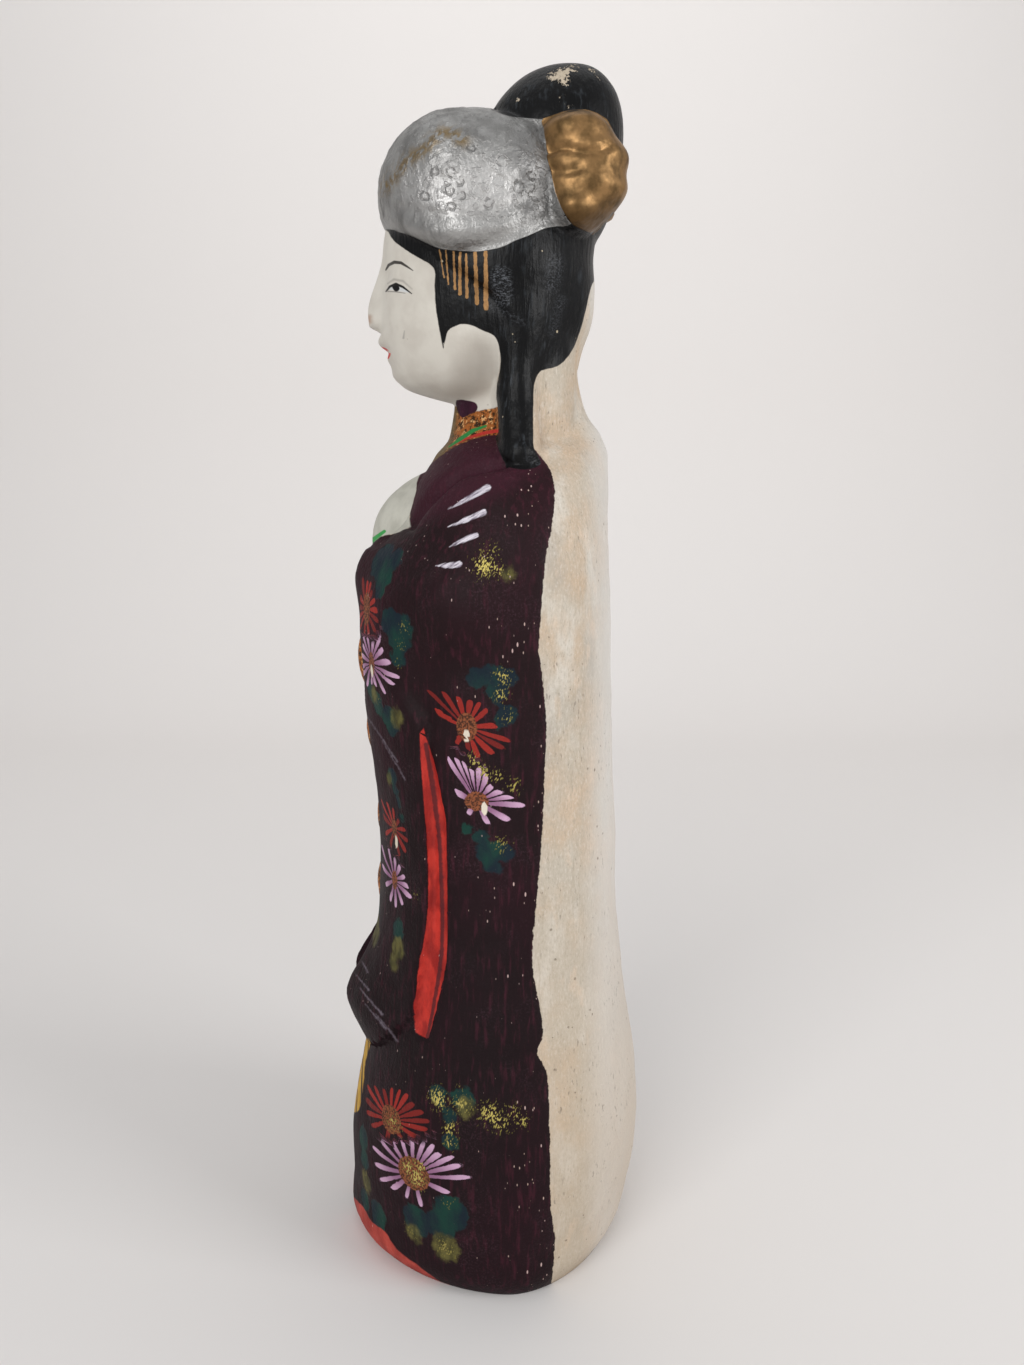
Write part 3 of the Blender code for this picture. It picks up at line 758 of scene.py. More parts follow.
def carve_doll():
    """Moves the points of a UV sphere onto the doll's surface, ring by ring."""
    origins, rays, rows = ray_grid()
    rim_and_up = surface(origins, rays).reshape(rows, COLUMNS, 3)
    base = [rim_and_up[0] * [share, share, 0] for share in np.arange(1, BASE_ROWS) / BASE_ROWS]
    rings = np.concatenate((base, rim_and_up[:-1]))

    mesh = bmesh.new()
    bmesh.ops.create_uvsphere(mesh, u_segments=COLUMNS, v_segments=len(rings) + 1, radius=1)
    points = sorted(mesh.verts, key=lambda v: v.co.z)
    points[0].co = Vector((0, 0, 0))
    points[-1].co = Vector(rim_and_up[-1].mean(axis=0))
    for number, ring in enumerate(rings):
        level = points[1 + number * COLUMNS : 1 + (number + 1) * COLUMNS]
        level.sort(key=lambda v: np.arctan2(v.co.x, -v.co.y) % (2 * np.pi))
        for point, place in zip(level, ring, strict=True):
            point.co = place
    bmesh.ops.recalc_face_normals(mesh, faces=mesh.faces)
    data = bpy.data.meshes.new("painted_clay_doll")
    mesh.to_mesh(data)
    mesh.free()
    return data


def read_triples(points, name):
    """Three numbers for each point of a mesh, such as its place or the way it faces."""
    flat = np.empty(len(points) * 3, np.float32)
    points.foreach_get(name, flat)
    return flat.reshape(-1, 3).astype(float)


def lay_relief(data):
    """Adds the fine carving, and keeps the doll inside the size of its solid."""
    p = read_triples(data.vertices, "co")
    picture = in_picture(p)
    robe_edge = inside(picture, ROBE)
    lining = inside(picture, LINING, smooth=False)
    outward = read_triples(data.vertex_normals, "vector")
    outward[:, 2] *= smooth_step(p[:, 2], 0, 6)
    lifted = p + outward * (relief(p, picture, robe_edge, lining) * (p[:, 2] > 0.01))[:, None]
    low, high = (np.array(corner) / PART for corner in cad_box)
    lifted = np.clip(lifted, low, high)
    data.vertices.foreach_set("co", (lifted * PART).astype(np.float32).ravel())
    data.update()
    return p, picture, robe_edge, lining


# What the paint follows


def note(data, name, values):
    """Keeps one value, or three, for each point of the mesh under a name."""
    wide = values.ndim > 1
    kept = data.attributes.new(name, "FLOAT_VECTOR" if wide else "FLOAT", "POINT")
    kept.data.foreach_set("vector" if wide else "value", np.ascontiguousarray(values, np.float32).ravel())


def upright(centres):
    """The way up and the way rearward along the doll's surface at each place."""
    ways = facing(centres)
    up = np.array((0, 0, 1.0)) - ways * ways[:, 2:]
    up /= np.linalg.norm(up, axis=1)[:, None]
    return ways, up, np.cross(up, ways)


def petal_round(away, up, rear, drawn):
    """Bearings and lengths of a flower's petals, with those that don't show filled in from across."""
    east, north = away @ rear, away @ up
    bearings, lengths = np.arctan2(north, east), np.hypot(east, north)
    if not drawn:
        across = np.arctan2(north, -east)
        gap = np.abs(np.angle(np.exp(1j * (across[:, None] - bearings)))).min(axis=1)
        bearings, lengths = np.append(bearings, across[gap > 0.3]), np.append(lengths, lengths[gap > 0.3])
    order = np.argsort(bearings)
    return bearings[order], lengths[order]


def note_flowers(data, p):
    """Each point near a chrysanthemum keeps its place among that flower's petals."""
    left = mirrored(p)
    centres = on_doll([flower[0] for flower in FLOWERS])
    ways, up, rear = upright(centres)
    scale = depth_from_eye(centres) / FOCUS
    place = np.full((len(p), 3), 5.0)
    make = np.zeros((len(p), 3))
    make[:, 1] = 12
    disc, drop = np.full((2, len(p)), -OUT_OF_REACH)
    best, second = np.full((2, len(p)), OUT_OF_REACH)
    for number, (middle, colour, disc_wide, disc_high, drop_at, tips) in enumerate(FLOWERS):
        whole = middle[0] > 400 or len(tips) > 10
        bearings, lengths = petal_round(on_doll(tips) - centres[number], up[number], rear[number], whole)
        count = len(bearings)
        away = left - centres[number]
        east, north = away @ rear[number], away @ up[number]
        bearing, reach = np.arctan2(north, east), np.hypot(east, north)
        around = np.concatenate((bearings - 2 * np.pi, bearings, bearings + 2 * np.pi))
        phase = np.interp(bearing, around, np.arange(3 * count) - count) * 2 * np.pi / count
        gaps = (np.roll(bearings, -1) - np.roll(bearings, 1)) % (2 * np.pi) / 2
        share = reach / np.interp(bearing, around, np.tile(lengths, 3))
        share = share + OUT_OF_REACH * (np.abs(away @ ways[number]) > OUT_OF_REACH)
        span = reach * np.interp(bearing, around, np.tile(gaps, 3))
        mine = share < best
        second = np.where(mine, best, np.minimum(second, share))
        best = np.where(mine, share, best)
        place[mine] = np.column_stack((share * np.cos(phase), share * np.sin(phase), span))[mine]
        make[mine] = (colour, count, number * 3.7)
        half = np.array((disc_wide, disc_high)) * scale[number] * (1.15 if whole else 1.4, 1)
        disc[mine] = ((1 - np.hypot(east / half[0], north / half[1])) * half[0])[mine]
        if drop_at:
            off = away - (on_doll([drop_at])[0] - centres[number])
            drop[mine] = (1 - np.hypot(off @ rear[number] / 0.8, off @ up[number] / 1.7))[mine]
    alone = np.maximum(smooth_step(second - best, 0.12, 0.32), smooth_step(best, 0.98, 0.86))
    note(data, "flower_place", place)
    note(data, "flower_make", make)
    note(data, "flower_disc", disc)
    note(data, "flower_drop", drop)
    note(data, "flower_near", smooth_step(best, 1.24, 1.10) * alone)


def widened(centres):
    """How much a spot seen aslant is longer on the doll than it shows."""
    sight = EYE - centres
    sight /= np.linalg.norm(sight, axis=1)[:, None]
    return 1 / np.clip(np.sum(facing(centres) * sight, axis=1), 0.62, 1)


def spots_on_doll(spots):
    """Middles and radii on the doll of round spots in the picture."""
    centres = on_doll([spot[:2] for spot in spots])
    return centres, np.array([spot[2] for spot in spots]) * depth_from_eye(centres) / FOCUS


def note_spots(data, p, name, spots):
    """Keeps how far inside a group of round spots each point is."""
    centres, rounds = spots_on_doll(spots)
    note(data, name, blobs(p, centres, rounds * widened(centres)))


def note_gold_dust(data, p):
    """Keeps how thickly gold dust lies at each point."""
    left = mirrored(p)
    centres, rounds = spots_on_doll(GOLD_DUST)
    thick = np.zeros(len(p))
    for centre, size, strength in zip(centres, rounds, (spot[3] for spot in GOLD_DUST), strict=True):
        away = np.linalg.norm(left - centre, axis=1)
        thick = np.maximum(thick, strength * np.exp(-((away / size) ** 2)))
    note(data, "gold_dust", thick)


def note_paint(data, p, picture, robe_edge, lining):
    """Keeps all that the paint follows, point by point."""
    z = p[:, 2]
    note(data, "picture", np.column_stack((picture, np.zeros(len(p)))))
    note(data, "robe_reach", np.where(z > ROBE_PAINT_TOP, -OUT_OF_SIGHT, robe_edge))
    note(data, "lining_reach", lining)
    beside_lock = (z > LOCK_FOOT) & (z < LOCK_HEAD) & (p[:, 1] < 8) & (np.abs(p[:, 0]) < 17)
    off_lock = 4 * (locks(p) - 0.8)
    hair_edge, skin_edge = inside(picture, HAIR), inside(picture, SKIN)
    note(data, "hair_reach", np.where(beside_lock, np.minimum(hair_edge, -off_lock), hair_edge))
    skin_edge = np.where(beside_lock, np.maximum(skin_edge, off_lock), skin_edge)
    note(data, "skin_reach", np.where(z < SKIN_FROM, -OUT_OF_SIGHT, skin_edge))
    chest = inside(picture, UNDER_ROBE)
    note(data, "under_robe_reach", np.where(p[:, 1] < 0, chest, -OUT_OF_SIGHT))
    note(data, "stub_reach", inside(picture, COLLAR_STUB))
    band = inside(picture, BROCADE)
    between = 2.2 - 4 * sash(p)
    note(data, "brocade_reach", np.where(z > COLLAR_FROM, band, between))
    note(data, "lips_reach", np.maximum(inside(picture, LIPS_UPPER), inside(picture, LIPS_LOWER)))
    for name, outline in (("hem_reach", HEM), ("yellow_reach", YELLOW_STRIP)):
        note(data, name, inside(picture, outline))
    silver = inside(picture, CAP_PAINT) * PICTURE_POINT
    note(data, "silver_reach", np.minimum(silver, 4.0 - cap(p)))
    note(data, "bun_reach", 0.35 - bun(p))
    knot = inside(picture, KNOT_PAINT, smooth=False) * PICTURE_POINT
    note(data, "knot_reach", np.minimum(knot, 3.0 - knots(p)))
    note_spots(data, p, "chip_reach", BUN_CHIPS)
    note(data, "tarnish", pressed(picture, TARNISH, 1.75))
    note_spots(data, p, "green_reach", LEAF_GREENS)
    note_spots(data, p, "olive_reach", LEAF_OLIVES)
    note_gold_dust(data, p)
    note_flowers(data, p)


# Paint


def pigment(red, green, blue):
    """A colour by its look on screen, 0 to 255, as light."""
    looks = np.array((red, green, blue)) / 255
    light = np.where(looks <= 0.04045, looks / 12.92, ((looks + 0.055) / 1.055) ** 2.4)
    return (*(float(part) for part in light), 1.0)


def chain(*points):
    """Strokes that follow one another through points, each point with the half width there."""
    pairs = zip(points[:-1], points[1:], strict=True)
    return tuple((first[:2], last[:2], first[2], last[2]) for first, last in pairs)


class Palette:
    """Adds the nodes of one material, each call giving back what it makes."""

    def __init__(self, name):
        self.material = bpy.data.materials.new(name)
        self.material.use_nodes = True
        self.nodes = self.material.node_tree.nodes
        self.links = self.material.node_tree.links
        self.shader = self.nodes["Principled BSDF"]
        self.known = {}
        place = self.add("ShaderNodeTexCoord").outputs["Object"]
        self.place = self.vector("MULTIPLY", place, (1 / PART,) * 3)

    def add(self, kind, inputs=(), **settings):
        made = self.nodes.new(kind)
        for setting, value in settings.items():
            setattr(made, setting, value)
        for slot, value in dict(inputs).items():
            self.give(made.inputs[slot], value)
        return made

    def give(self, slot, value):
        if isinstance(value, bpy.types.NodeSocket):
            self.links.new(value, slot)
        else:
            slot.default_value = value

    def math(self, operation, *values, clamp=False):
        inputs = {number: value for number, value in enumerate(values)}
        return self.add("ShaderNodeMath", inputs, operation=operation, use_clamp=clamp).outputs[0]

    def times(self, first, second):
        return self.math("MULTIPLY", first, second)

    def plus(self, first, second):
        return self.math("ADD", first, second)

    def minus(self, first, second):
        return self.math("SUBTRACT", first, second)

    def scaled(self, value, scale, shift):
        return self.math("MULTIPLY_ADD", value, scale, shift)

    def vector(self, operation, first, second=(0, 0, 0), scale=None):
        inputs = {0: first, 1: second}
        if scale is not None:
            inputs["Scale"] = scale
        made = self.add("ShaderNodeVectorMath", inputs, operation=operation)
        return made.outputs["Value" if operation in ("LENGTH", "DISTANCE", "DOT_PRODUCT") else "Vector"]

    def kept(self, name, wide=False):
        """What the mesh keeps under a name."""
        if name not in self.known:
            made = self.add("ShaderNodeAttribute", attribute_name=name)
            self.known[name] = made.outputs["Vector" if wide else "Fac"]
        return self.known[name]

    def parts(self, vector):
        made = self.add("ShaderNodeSeparateXYZ", {0: vector})
        return made.outputs[0], made.outputs[1], made.outputs[2]

    def step(self, value, low, high, lowest=0.0, highest=1.0):
        """A smooth rise from lowest to highest."""
        inputs = {"Value": value, "From Min": low, "From Max": high, "To Min": lowest, "To Max": highest}
        return self.add("ShaderNodeMapRange", inputs, interpolation_type="SMOOTHSTEP").outputs[0]

    def grain(self, size, detail=3.0, stretch=(1, 1, 1), shift=0.0, rough=0.55, lean=0, long=1.0):
        """Noise whose grains are this many parts wide, or lean and are longer than wide."""
        place = self.place
        if lean:
            made = {"Vector": place, "Rotation": (np.radians(lean), 0, 0), "Scale": (1, long, 1)}
            place = self.add("ShaderNodeMapping", made, vector_type="TEXTURE").outputs[0]
        elif tuple(stretch) != (1, 1, 1) or shift:
            made = {"Vector": place, "Location": (shift,) * 3, "Scale": stretch}
            place = self.add("ShaderNodeMapping", made).outputs[0]
        inputs = {"Vector": place, "Scale": 1 / size, "Detail": detail, "Roughness": rough}
        return self.add("ShaderNodeTexNoise", inputs).outputs["Fac"]

    def cells(self, size, shift=0.0, what="Distance", stretch=(1, 1, 1)):
        """Round cells of this many parts: the distance from their middles, or a colour for each."""
        made = {"Vector": self.place, "Location": (shift,) * 3, "Scale": stretch}
        place = self.add("ShaderNodeMapping", made).outputs[0]
        return self.add("ShaderNodeTexVoronoi", {"Vector": place, "Scale": 1 / size}).outputs[what]

    def mix(self, share, below, above):
        """One colour or number laid over another."""
        flat = not (is_colour(below) or is_colour(above))
        made = self.add("ShaderNodeMix", data_type="FLOAT" if flat else "RGBA")
        slots = (0, 2, 3, 0) if flat else (0, 6, 7, 2)
        for slot, value in zip(slots, (share, below, above)):
            self.give(made.inputs[slot], value)
        return made.outputs[slots[3]]

    def tint(self, colour, share, *look):
        """A colour with a share of one pigment over it."""
        return self.mix(share, colour, pigment(*look))

    def between(self, share, first, last):
        """A colour between two pigments."""
        return self.mix(share, pigment(*first), pigment(*last))

    def down(self):
        """How far down the picture a place shows."""
        return self.parts(self.kept("picture", wide=True))[1]

    def wobbled(self, name, amount, size=1.9):
        """How far inside a kept outline a place is, made uneven."""
        reach = self.kept(name)
        return self.plus(reach, self.scaled(self.grain(size, 4), 2 * amount, -amount))

    def edge(self, name, soft=0.5, wobble=0.0):
        """A cover inside a kept outline, with an uneven edge."""
        reach = self.wobbled(name, wobble, 1.3) if wobble else self.kept(name)
        return self.step(reach, -soft, soft)

    def lay(self, share, below, above):
        """One finish over another: colour, roughness, metal and height."""
        return tuple(self.mix(share, low, high) for low, high in zip(below, above, strict=True))

    def streak(self, course):
        """How far inside straight strokes that swell from their thin end, in picture points."""
        picture = self.kept("picture", wide=True)
        best = None
        for start, end, thin, broad in course:
            run = np.subtract(end, start)
            away = self.vector("SUBTRACT", picture, (*map(float, start), 0))
            unit = run / (run @ run)
            share = self.vector("DOT_PRODUCT", away, (float(unit[0]), float(unit[1]), 0))
            share = self.math("ADD", share, 0.0, clamp=True)
            nearest = self.vector("SCALE", (float(run[0]), float(run[1]), 0), scale=share)
            width = self.scaled(share, broad - thin, thin)
            inside_by = self.minus(width, self.vector("DISTANCE", away, nearest))
            best = inside_by if best is None else self.math("MAXIMUM", best, inside_by)
        return best

    def drawn(self, colour, course, low, high, most, *look):
        """Strokes of one pigment over a colour."""
        return self.tint(colour, self.step(self.streak(course), low, high, 0, most), *look)

    def finish(self, coat, gloss):
        colour, roughness, metal, height = coat
        self.give(self.shader.inputs["Base Color"], colour)
        self.give(self.shader.inputs["Roughness"], roughness)
        self.give(self.shader.inputs["Metallic"], metal)
        self.give(self.shader.inputs["Specular IOR Level"], gloss)
        inputs = {"Height": height, "Strength": 0.6, "Distance": PART}
        self.give(self.shader.inputs["Normal"], self.add("ShaderNodeBump", inputs).outputs["Normal"])
        return self.material


def is_colour(value):
    """Whether a value or a socket stands for a colour."""
    if isinstance(value, bpy.types.NodeSocket):
        return value.type == "RGBA"
    return not isinstance(value, (int, float))


def bare_clay(paint):
    """Unpainted fired clay: chalky, with warm stains, wiping marks, smudges, small dark pits and a painted
    light rim.
    """
    broad = paint.step(paint.grain(24, 4), 0.38, 0.64)
    colour = paint.between(broad, (181, 172, 158), (187, 166, 143))
    pale = paint.step(paint.grain(10, 4, (1, 1, 0.45), 9), 0.50, 0.70)
    colour = paint.tint(colour, pale, 197, 190, 179)
    grey = paint.step(paint.grain(13, 5, (1, 1, 0.6), 21), 0.54, 0.74, 0, 0.8)
    colour = paint.tint(colour, grey, 168, 159, 147)
    warm = paint.step(paint.grain(5, 4, (1, 1, 0.5), 44), 0.58, 0.72, 0, 0.5)
    colour = paint.tint(colour, warm, 206, 184, 162)
    wiped = paint.grain(1.3, 4, (1, 1, 0.10), 4)
    colour = paint.tint(colour, paint.step(wiped, 0.52, 0.76, 0, 0.5), 164, 153, 136)
    fine = paint.grain(0.5, 4, (1, 1, 0.45), 61, rough=0.7)
    colour = paint.tint(colour, paint.step(fine, 0.50, 0.66, 0, 0.45), 156, 148, 134)
    colour = paint.tint(colour, paint.step(fine, 0.46, 0.34, 0, 0.3), 218, 213, 205)
    # Painted light along the rear edge: the clay is made paler towards the back
    painted_rim_light = paint.step(paint.parts(paint.place)[1], 20, 29, 0, 0.7)
    colour = paint.tint(colour, painted_rim_light, 212, 209, 205)
    warmer = paint.step(paint.parts(paint.place)[2], 130, 30, 0, 0.45)
    colour = paint.tint(colour, warmer, 176, 157, 134)
    chance = paint.parts(paint.cells(2.4, 3, what="Color"))[0]
    crowd = paint.step(paint.grain(9, 2, shift=5), 0.40, 0.62, -0.05, 0.05)
    size = paint.plus(paint.scaled(chance, 0.28, -0.15), crowd)
    pits = paint.step(paint.minus(size, paint.cells(2.4, 3)), -0.02, 0.03)
    colour = paint.tint(colour, paint.times(pits, 0.6), 112, 100, 86)
    streaks = paint.step(paint.grain(0.6, 3, (1, 1, 0.3), 52), 0.61, 0.71)
    streaks = paint.times(streaks, paint.step(paint.grain(14, 2, shift=57), 0.46, 0.58, 0, 0.6))
    colour = paint.tint(colour, streaks, 104, 98, 88)
    height = paint.scaled(paint.grain(0.9, 5), 0.3, paint.times(pits, -0.3))
    height = paint.scaled(wiped, 0.35, height)
    return colour, 0.88, 0.0, height


def white_skin(paint):
    """Shell-white ground of face and neck, worn at the nose, scratched on the cheek, painted shade below the
    hair.
    """
    colour = paint.between(paint.step(paint.grain(8, 3), 0.4, 0.7), (204, 199, 189), (194, 188, 178))
    picture = paint.kept("picture", wide=True)
    # Painted shade on the neck below the side hair
    painted_shade = chain((478, 350, 10), (470, 385, 16))
    colour = paint.drawn(colour, painted_shade, -16, 8, 0.55, 160, 152, 142)
    worn = paint.step(paint.vector("DISTANCE", picture, (370.5, 319, 0)), 6.5, 2.0)
    aside = paint.math("ABSOLUTE", paint.parts(paint.place)[0])
    worn = paint.times(worn, paint.step(aside, 4.6, 0.8, 0, 0.8))
    colour = paint.tint(colour, worn, 168, 134, 112)
    marks = chain((404.5, 331, 0.5), (403.5, 338, 1.0)) + chain((371, 328, 0.6), (374, 331, 1.0))
    colour = paint.drawn(colour, marks, -0.6, 0.6, 0.55, 135, 130, 125)
    specks = paint.times(paint.step(paint.cells(4.4, 8), 0.07, 0.03), 0.5)
    colour = paint.tint(colour, specks, 150, 143, 134)
    return colour, 0.5, 0.0, paint.times(paint.grain(1.6, 4), 0.12)


def paint_face(paint, skin):
    """Brow, lids, iris and lips."""
    colour, rough, metal, height = skin
    fold = chain((388, 283.5, 0.5), (394, 279.5, 0.9), (403, 281, 0.9), (412, 289, 0.3))
    colour = paint.drawn(colour, fold, -1.2, 0.8, 0.45, 120, 116, 110)
    white = chain((389, 288.6, 1.0), (395, 287.6, 3.0), (408, 291.6, 1.0))
    colour = paint.drawn(colour, white, -0.5, 0.5, 0.7, 200, 204, 206)
    iris = chain((395.6, 286.8, 3.3), (396.4, 288.4, 3.1))
    colour = paint.drawn(colour, iris, -0.4, 0.4, 1, 18, 16, 18)
    lids = chain(
        (386.2, 291.6, 0.5), (390, 286.6, 1.1), (396, 284, 1.3), (403, 287, 1.1), (411.5, 293.6, 0.4),
    )
    colour = paint.drawn(colour, lids, -0.5, 0.35, 1, 28, 26, 26)
    under = chain((388, 291.4, 0.4), (396, 291.8, 0.5), (405, 293.2, 0.3))
    colour = paint.drawn(colour, under, -0.5, 0.4, 0.7, 80, 78, 78)
    brow = chain(
        (386, 270, 0.6), (389, 265, 1.3), (394.5, 262.2, 1.6), (401, 262.8, 1.4), (407.5, 266.8, 0.9),
        (413, 270.6, 0.3),
    )
    colour = paint.drawn(colour, brow, -0.5, 0.35, 0.94, 38, 34, 32)
    colour = paint.tint(colour, paint.edge("lips_reach", 0.6), 196, 56, 52)
    return colour, rough, metal, height


def black_hair(paint):
    """Black paint, combed and rubbed, with pale flecks, and grey streaks of painted sheen at the back."""
    strands = paint.grain(1.0, 4, (1, 1, 0.14), 2)
    rubbed = paint.times(paint.step(strands, 0.50, 0.70), paint.step(paint.grain(9, 3, shift=3), 0.46, 0.64))
    low = paint.step(paint.down(), 330, 400, 0.42, 0.8)
    colour = paint.between(paint.times(rubbed, low), (10, 10, 11), (66, 71, 76))
    worn_place = paint.streak(chain((501, 276, 10), (503, 298, 9)))
    # Worn places, and two streaks of painted sheen at the back of the hair, all in the same grey
    wear_and_sheen_trail = paint.streak((
        ((492, 306), (522, 322), 4, 3), ((556, 262), (552, 285), 9, 8), ((561, 300), (553, 332), 5, 4),
        ((528, 458), (536, 462), 3, 4),
    ))
    scuffs_and_sheen = paint.step(paint.grain(0.40, 4, (1, 0.5, 1.3), 6, rough=0.7), 0.46, 0.64)
    wear_and_sheen_spread = paint.math("MAXIMUM", paint.step(worn_place, -4, 4), paint.step(wear_and_sheen_trail, -5, 6, 0, 0.55))
    scuffs_and_sheen = paint.times(scuffs_and_sheen, wear_and_sheen_spread)
    colour = paint.tint(colour, paint.times(scuffs_and_sheen, 0.75), 96, 99, 104)
    chance = paint.parts(paint.cells(3.2, 11, what="Color"))[0]
    flecks = paint.minus(paint.scaled(chance, 0.20, -0.09), paint.cells(3.2, 11))
    flecks = paint.times(paint.step(flecks, -0.015, 0.02), 0.8)
    colour = paint.tint(colour, flecks, 186, 172, 146)
    rough = paint.mix(rubbed, 0.36, 0.52)
    height = paint.scaled(strands, 0.35, paint.times(paint.grain(1.5, 4), 0.2))
    return colour, rough, 0.0, height


def comb_marks(paint, coat):
    """Gold strokes of the comb behind the temple."""
    course = tuple((start, end, thin * 0.75, thin) for start, end, thin in COMB_STROKES)
    near = paint.streak(course)
    near = paint.plus(near, paint.scaled(paint.grain(0.9, 3), 2.6, -1.3))
    gold = (paint.between(paint.grain(0.8, 3), (112, 82, 50), (180, 136, 86)), 0.45, 0.2, coat[3])
    return paint.lay(paint.step(near, -0.35, 0.35), coat, gold)


def silver_cloth(paint):
    """Silver paint over stamped rings, a rubbed brown-gold smear over the brow, painted highlight in the
    middle and painted shade behind.
    """
    mottled = paint.step(paint.grain(6, 4), 0.35, 0.7)
    colour = paint.between(mottled, (160, 159, 157), (128, 127, 125))
    # Painted highlight: a broad pale band across the middle of the cap
    colour = paint.drawn(colour, chain((425, 190, 18), (490, 188, 22)), -22, 8, 0.4, 214, 212, 210)
    # Painted shade: a darker band down the rear part of the cap
    colour = paint.drawn(colour, chain((532, 140, 16), (536, 205, 16)), -14, 8, 0.55, 104, 103, 102)
    smear = paint.step(paint.grain(1.3, 4, shift=7, lean=50, long=1.8), 0.42, 0.58)
    smear = paint.times(paint.kept("tarnish"), smear)
    colour = paint.tint(colour, paint.times(smear, 0.8), 128, 104, 58)
    picture = paint.kept("picture", wide=True)
    shaking = paint.add("ShaderNodeTexNoise", {"Vector": paint.place, "Scale": 0.6})
    shaken = paint.vector("SCALE", shaking.outputs["Color"], scale=5.0)
    shaken = paint.vector("ADD", picture, paint.vector("SUBTRACT", shaken, (2.5, 2.5, 2.5)))
    shaken = paint.vector("MULTIPLY", shaken, (1, 1, 0))
    rings = None
    for across, down, radius in CAP_RINGS:
        off = paint.minus(paint.vector("DISTANCE", shaken, (across, down, 0)), radius)
        off = paint.math("ABSOLUTE", off)
        rings = off if rings is None else paint.math("MINIMUM", rings, off)
    rings = paint.times(paint.step(rings, 1.9, 0.3), paint.step(paint.grain(1.5, 3, shift=80), 0.40, 0.56))
    crinkled = paint.step(paint.grain(2.2, 3, shift=84), 0.52, 0.60)
    crinkled = paint.times(crinkled, paint.step(paint.parts(picture)[1], 232, 214))
    dark = paint.times(paint.math("MAXIMUM", rings, paint.times(crinkled, 0.4)), 0.45)
    colour = paint.tint(colour, dark, 84, 82, 80)
    rough = paint.mix(mottled, 0.42, 0.55)
    height = paint.scaled(paint.grain(0.8, 4), 0.35, paint.times(paint.grain(3.2, 3, shift=4), 0.9))
    height = paint.scaled(rings, -0.5, height)
    height = paint.scaled(crinkled, 0.25, height)
    return colour, rough, 0.78, height


def gold_cloth(paint):
    """Brown gold paint, mottled, and darker towards its lower end."""
    mottled = paint.step(paint.grain(4, 4, shift=3), 0.35, 0.7)
    colour = paint.between(mottled, (146, 113, 74), (92, 71, 44))
    low = paint.step(paint.down(), 190, 222, 0, 0.8)
    colour = paint.tint(colour, low, 78, 58, 34)
    rough = paint.mix(mottled, 0.40, 0.5)
    broad = paint.times(paint.grain(5, 2, shift=9), 0.8)
    height = paint.scaled(paint.grain(1.6, 4), 0.16, broad)
    return colour, rough, 0.7, height


def plum_robe(paint):
    """Matt plum-black paint, brushed upright."""
    broad = paint.step(paint.grain(24, 3, (1, 1, 0.6)), 0.38, 0.68)
    colour = paint.between(broad, (27, 9, 13), (41, 13, 22))
    collar = chain((436, 470, 26), (520, 446, 30)) + chain((420, 505, 14), (500, 470, 20))
    colour = paint.drawn(colour, collar, -16, 10, 0.8, 56, 22, 34)
    colour = paint.tint(colour, paint.step(paint.parts(paint.place)[2], 200, 60, 0, 0.6), 14, 5, 8)
    brushed = paint.grain(1.1, 5, (1, 1, 0.16), 12)
    colour = paint.tint(colour, paint.step(brushed, 0.50, 0.74, 0, 0.5), 70, 26, 40)
    dusty = paint.step(paint.grain(0.5, 4, shift=93, rough=0.7), 0.50, 0.66)
    dusty = paint.times(dusty, paint.step(paint.grain(14, 3, shift=96), 0.44, 0.66))
    colour = paint.tint(colour, paint.times(dusty, 0.28), 84, 58, 68)
    rough = paint.mix(broad, 0.56, 0.68)
    height = paint.plus(paint.times(paint.grain(0.8, 4), 0.3), paint.times(brushed, 0.3))
    return colour, rough, 0.0, height


def paint_flat(paint, dark, light, size, rough, shift=0.0):
    """A brushed coat of one pigment, darker and lighter in places."""
    mottled = paint.step(paint.grain(size, 4, (1, 1, 0.5), shift), 0.35, 0.68)
    return paint.between(mottled, dark, light), rough, 0.0, paint.times(paint.grain(0.9, 4), 0.3)


def stroked(paint, coat, course, *look):
    """Strokes of one matt pigment over a coat."""
    return paint.lay(paint.step(paint.streak(course), -0.5, 0.5), coat, (pigment(*look), 0.6, 0.0, coat[3]))


def leaves(paint, coat):
    """Blue-green and olive leaves with soft brushed edges."""
    green = paint_flat(paint, (16, 32, 42), (17, 57, 48), 5, 0.6, 15)
    coat = paint.lay(paint.step(paint.wobbled("green_reach", 1.5), -0.3, 0.35, 0, 0.93), coat, green)
    olive = paint_flat(paint, (62, 60, 32), (104, 98, 52), 2, 0.6, 18)
    return paint.lay(paint.step(paint.wobbled("olive_reach", 1.7), -0.9, 0.7, 0, 0.8), coat, olive)


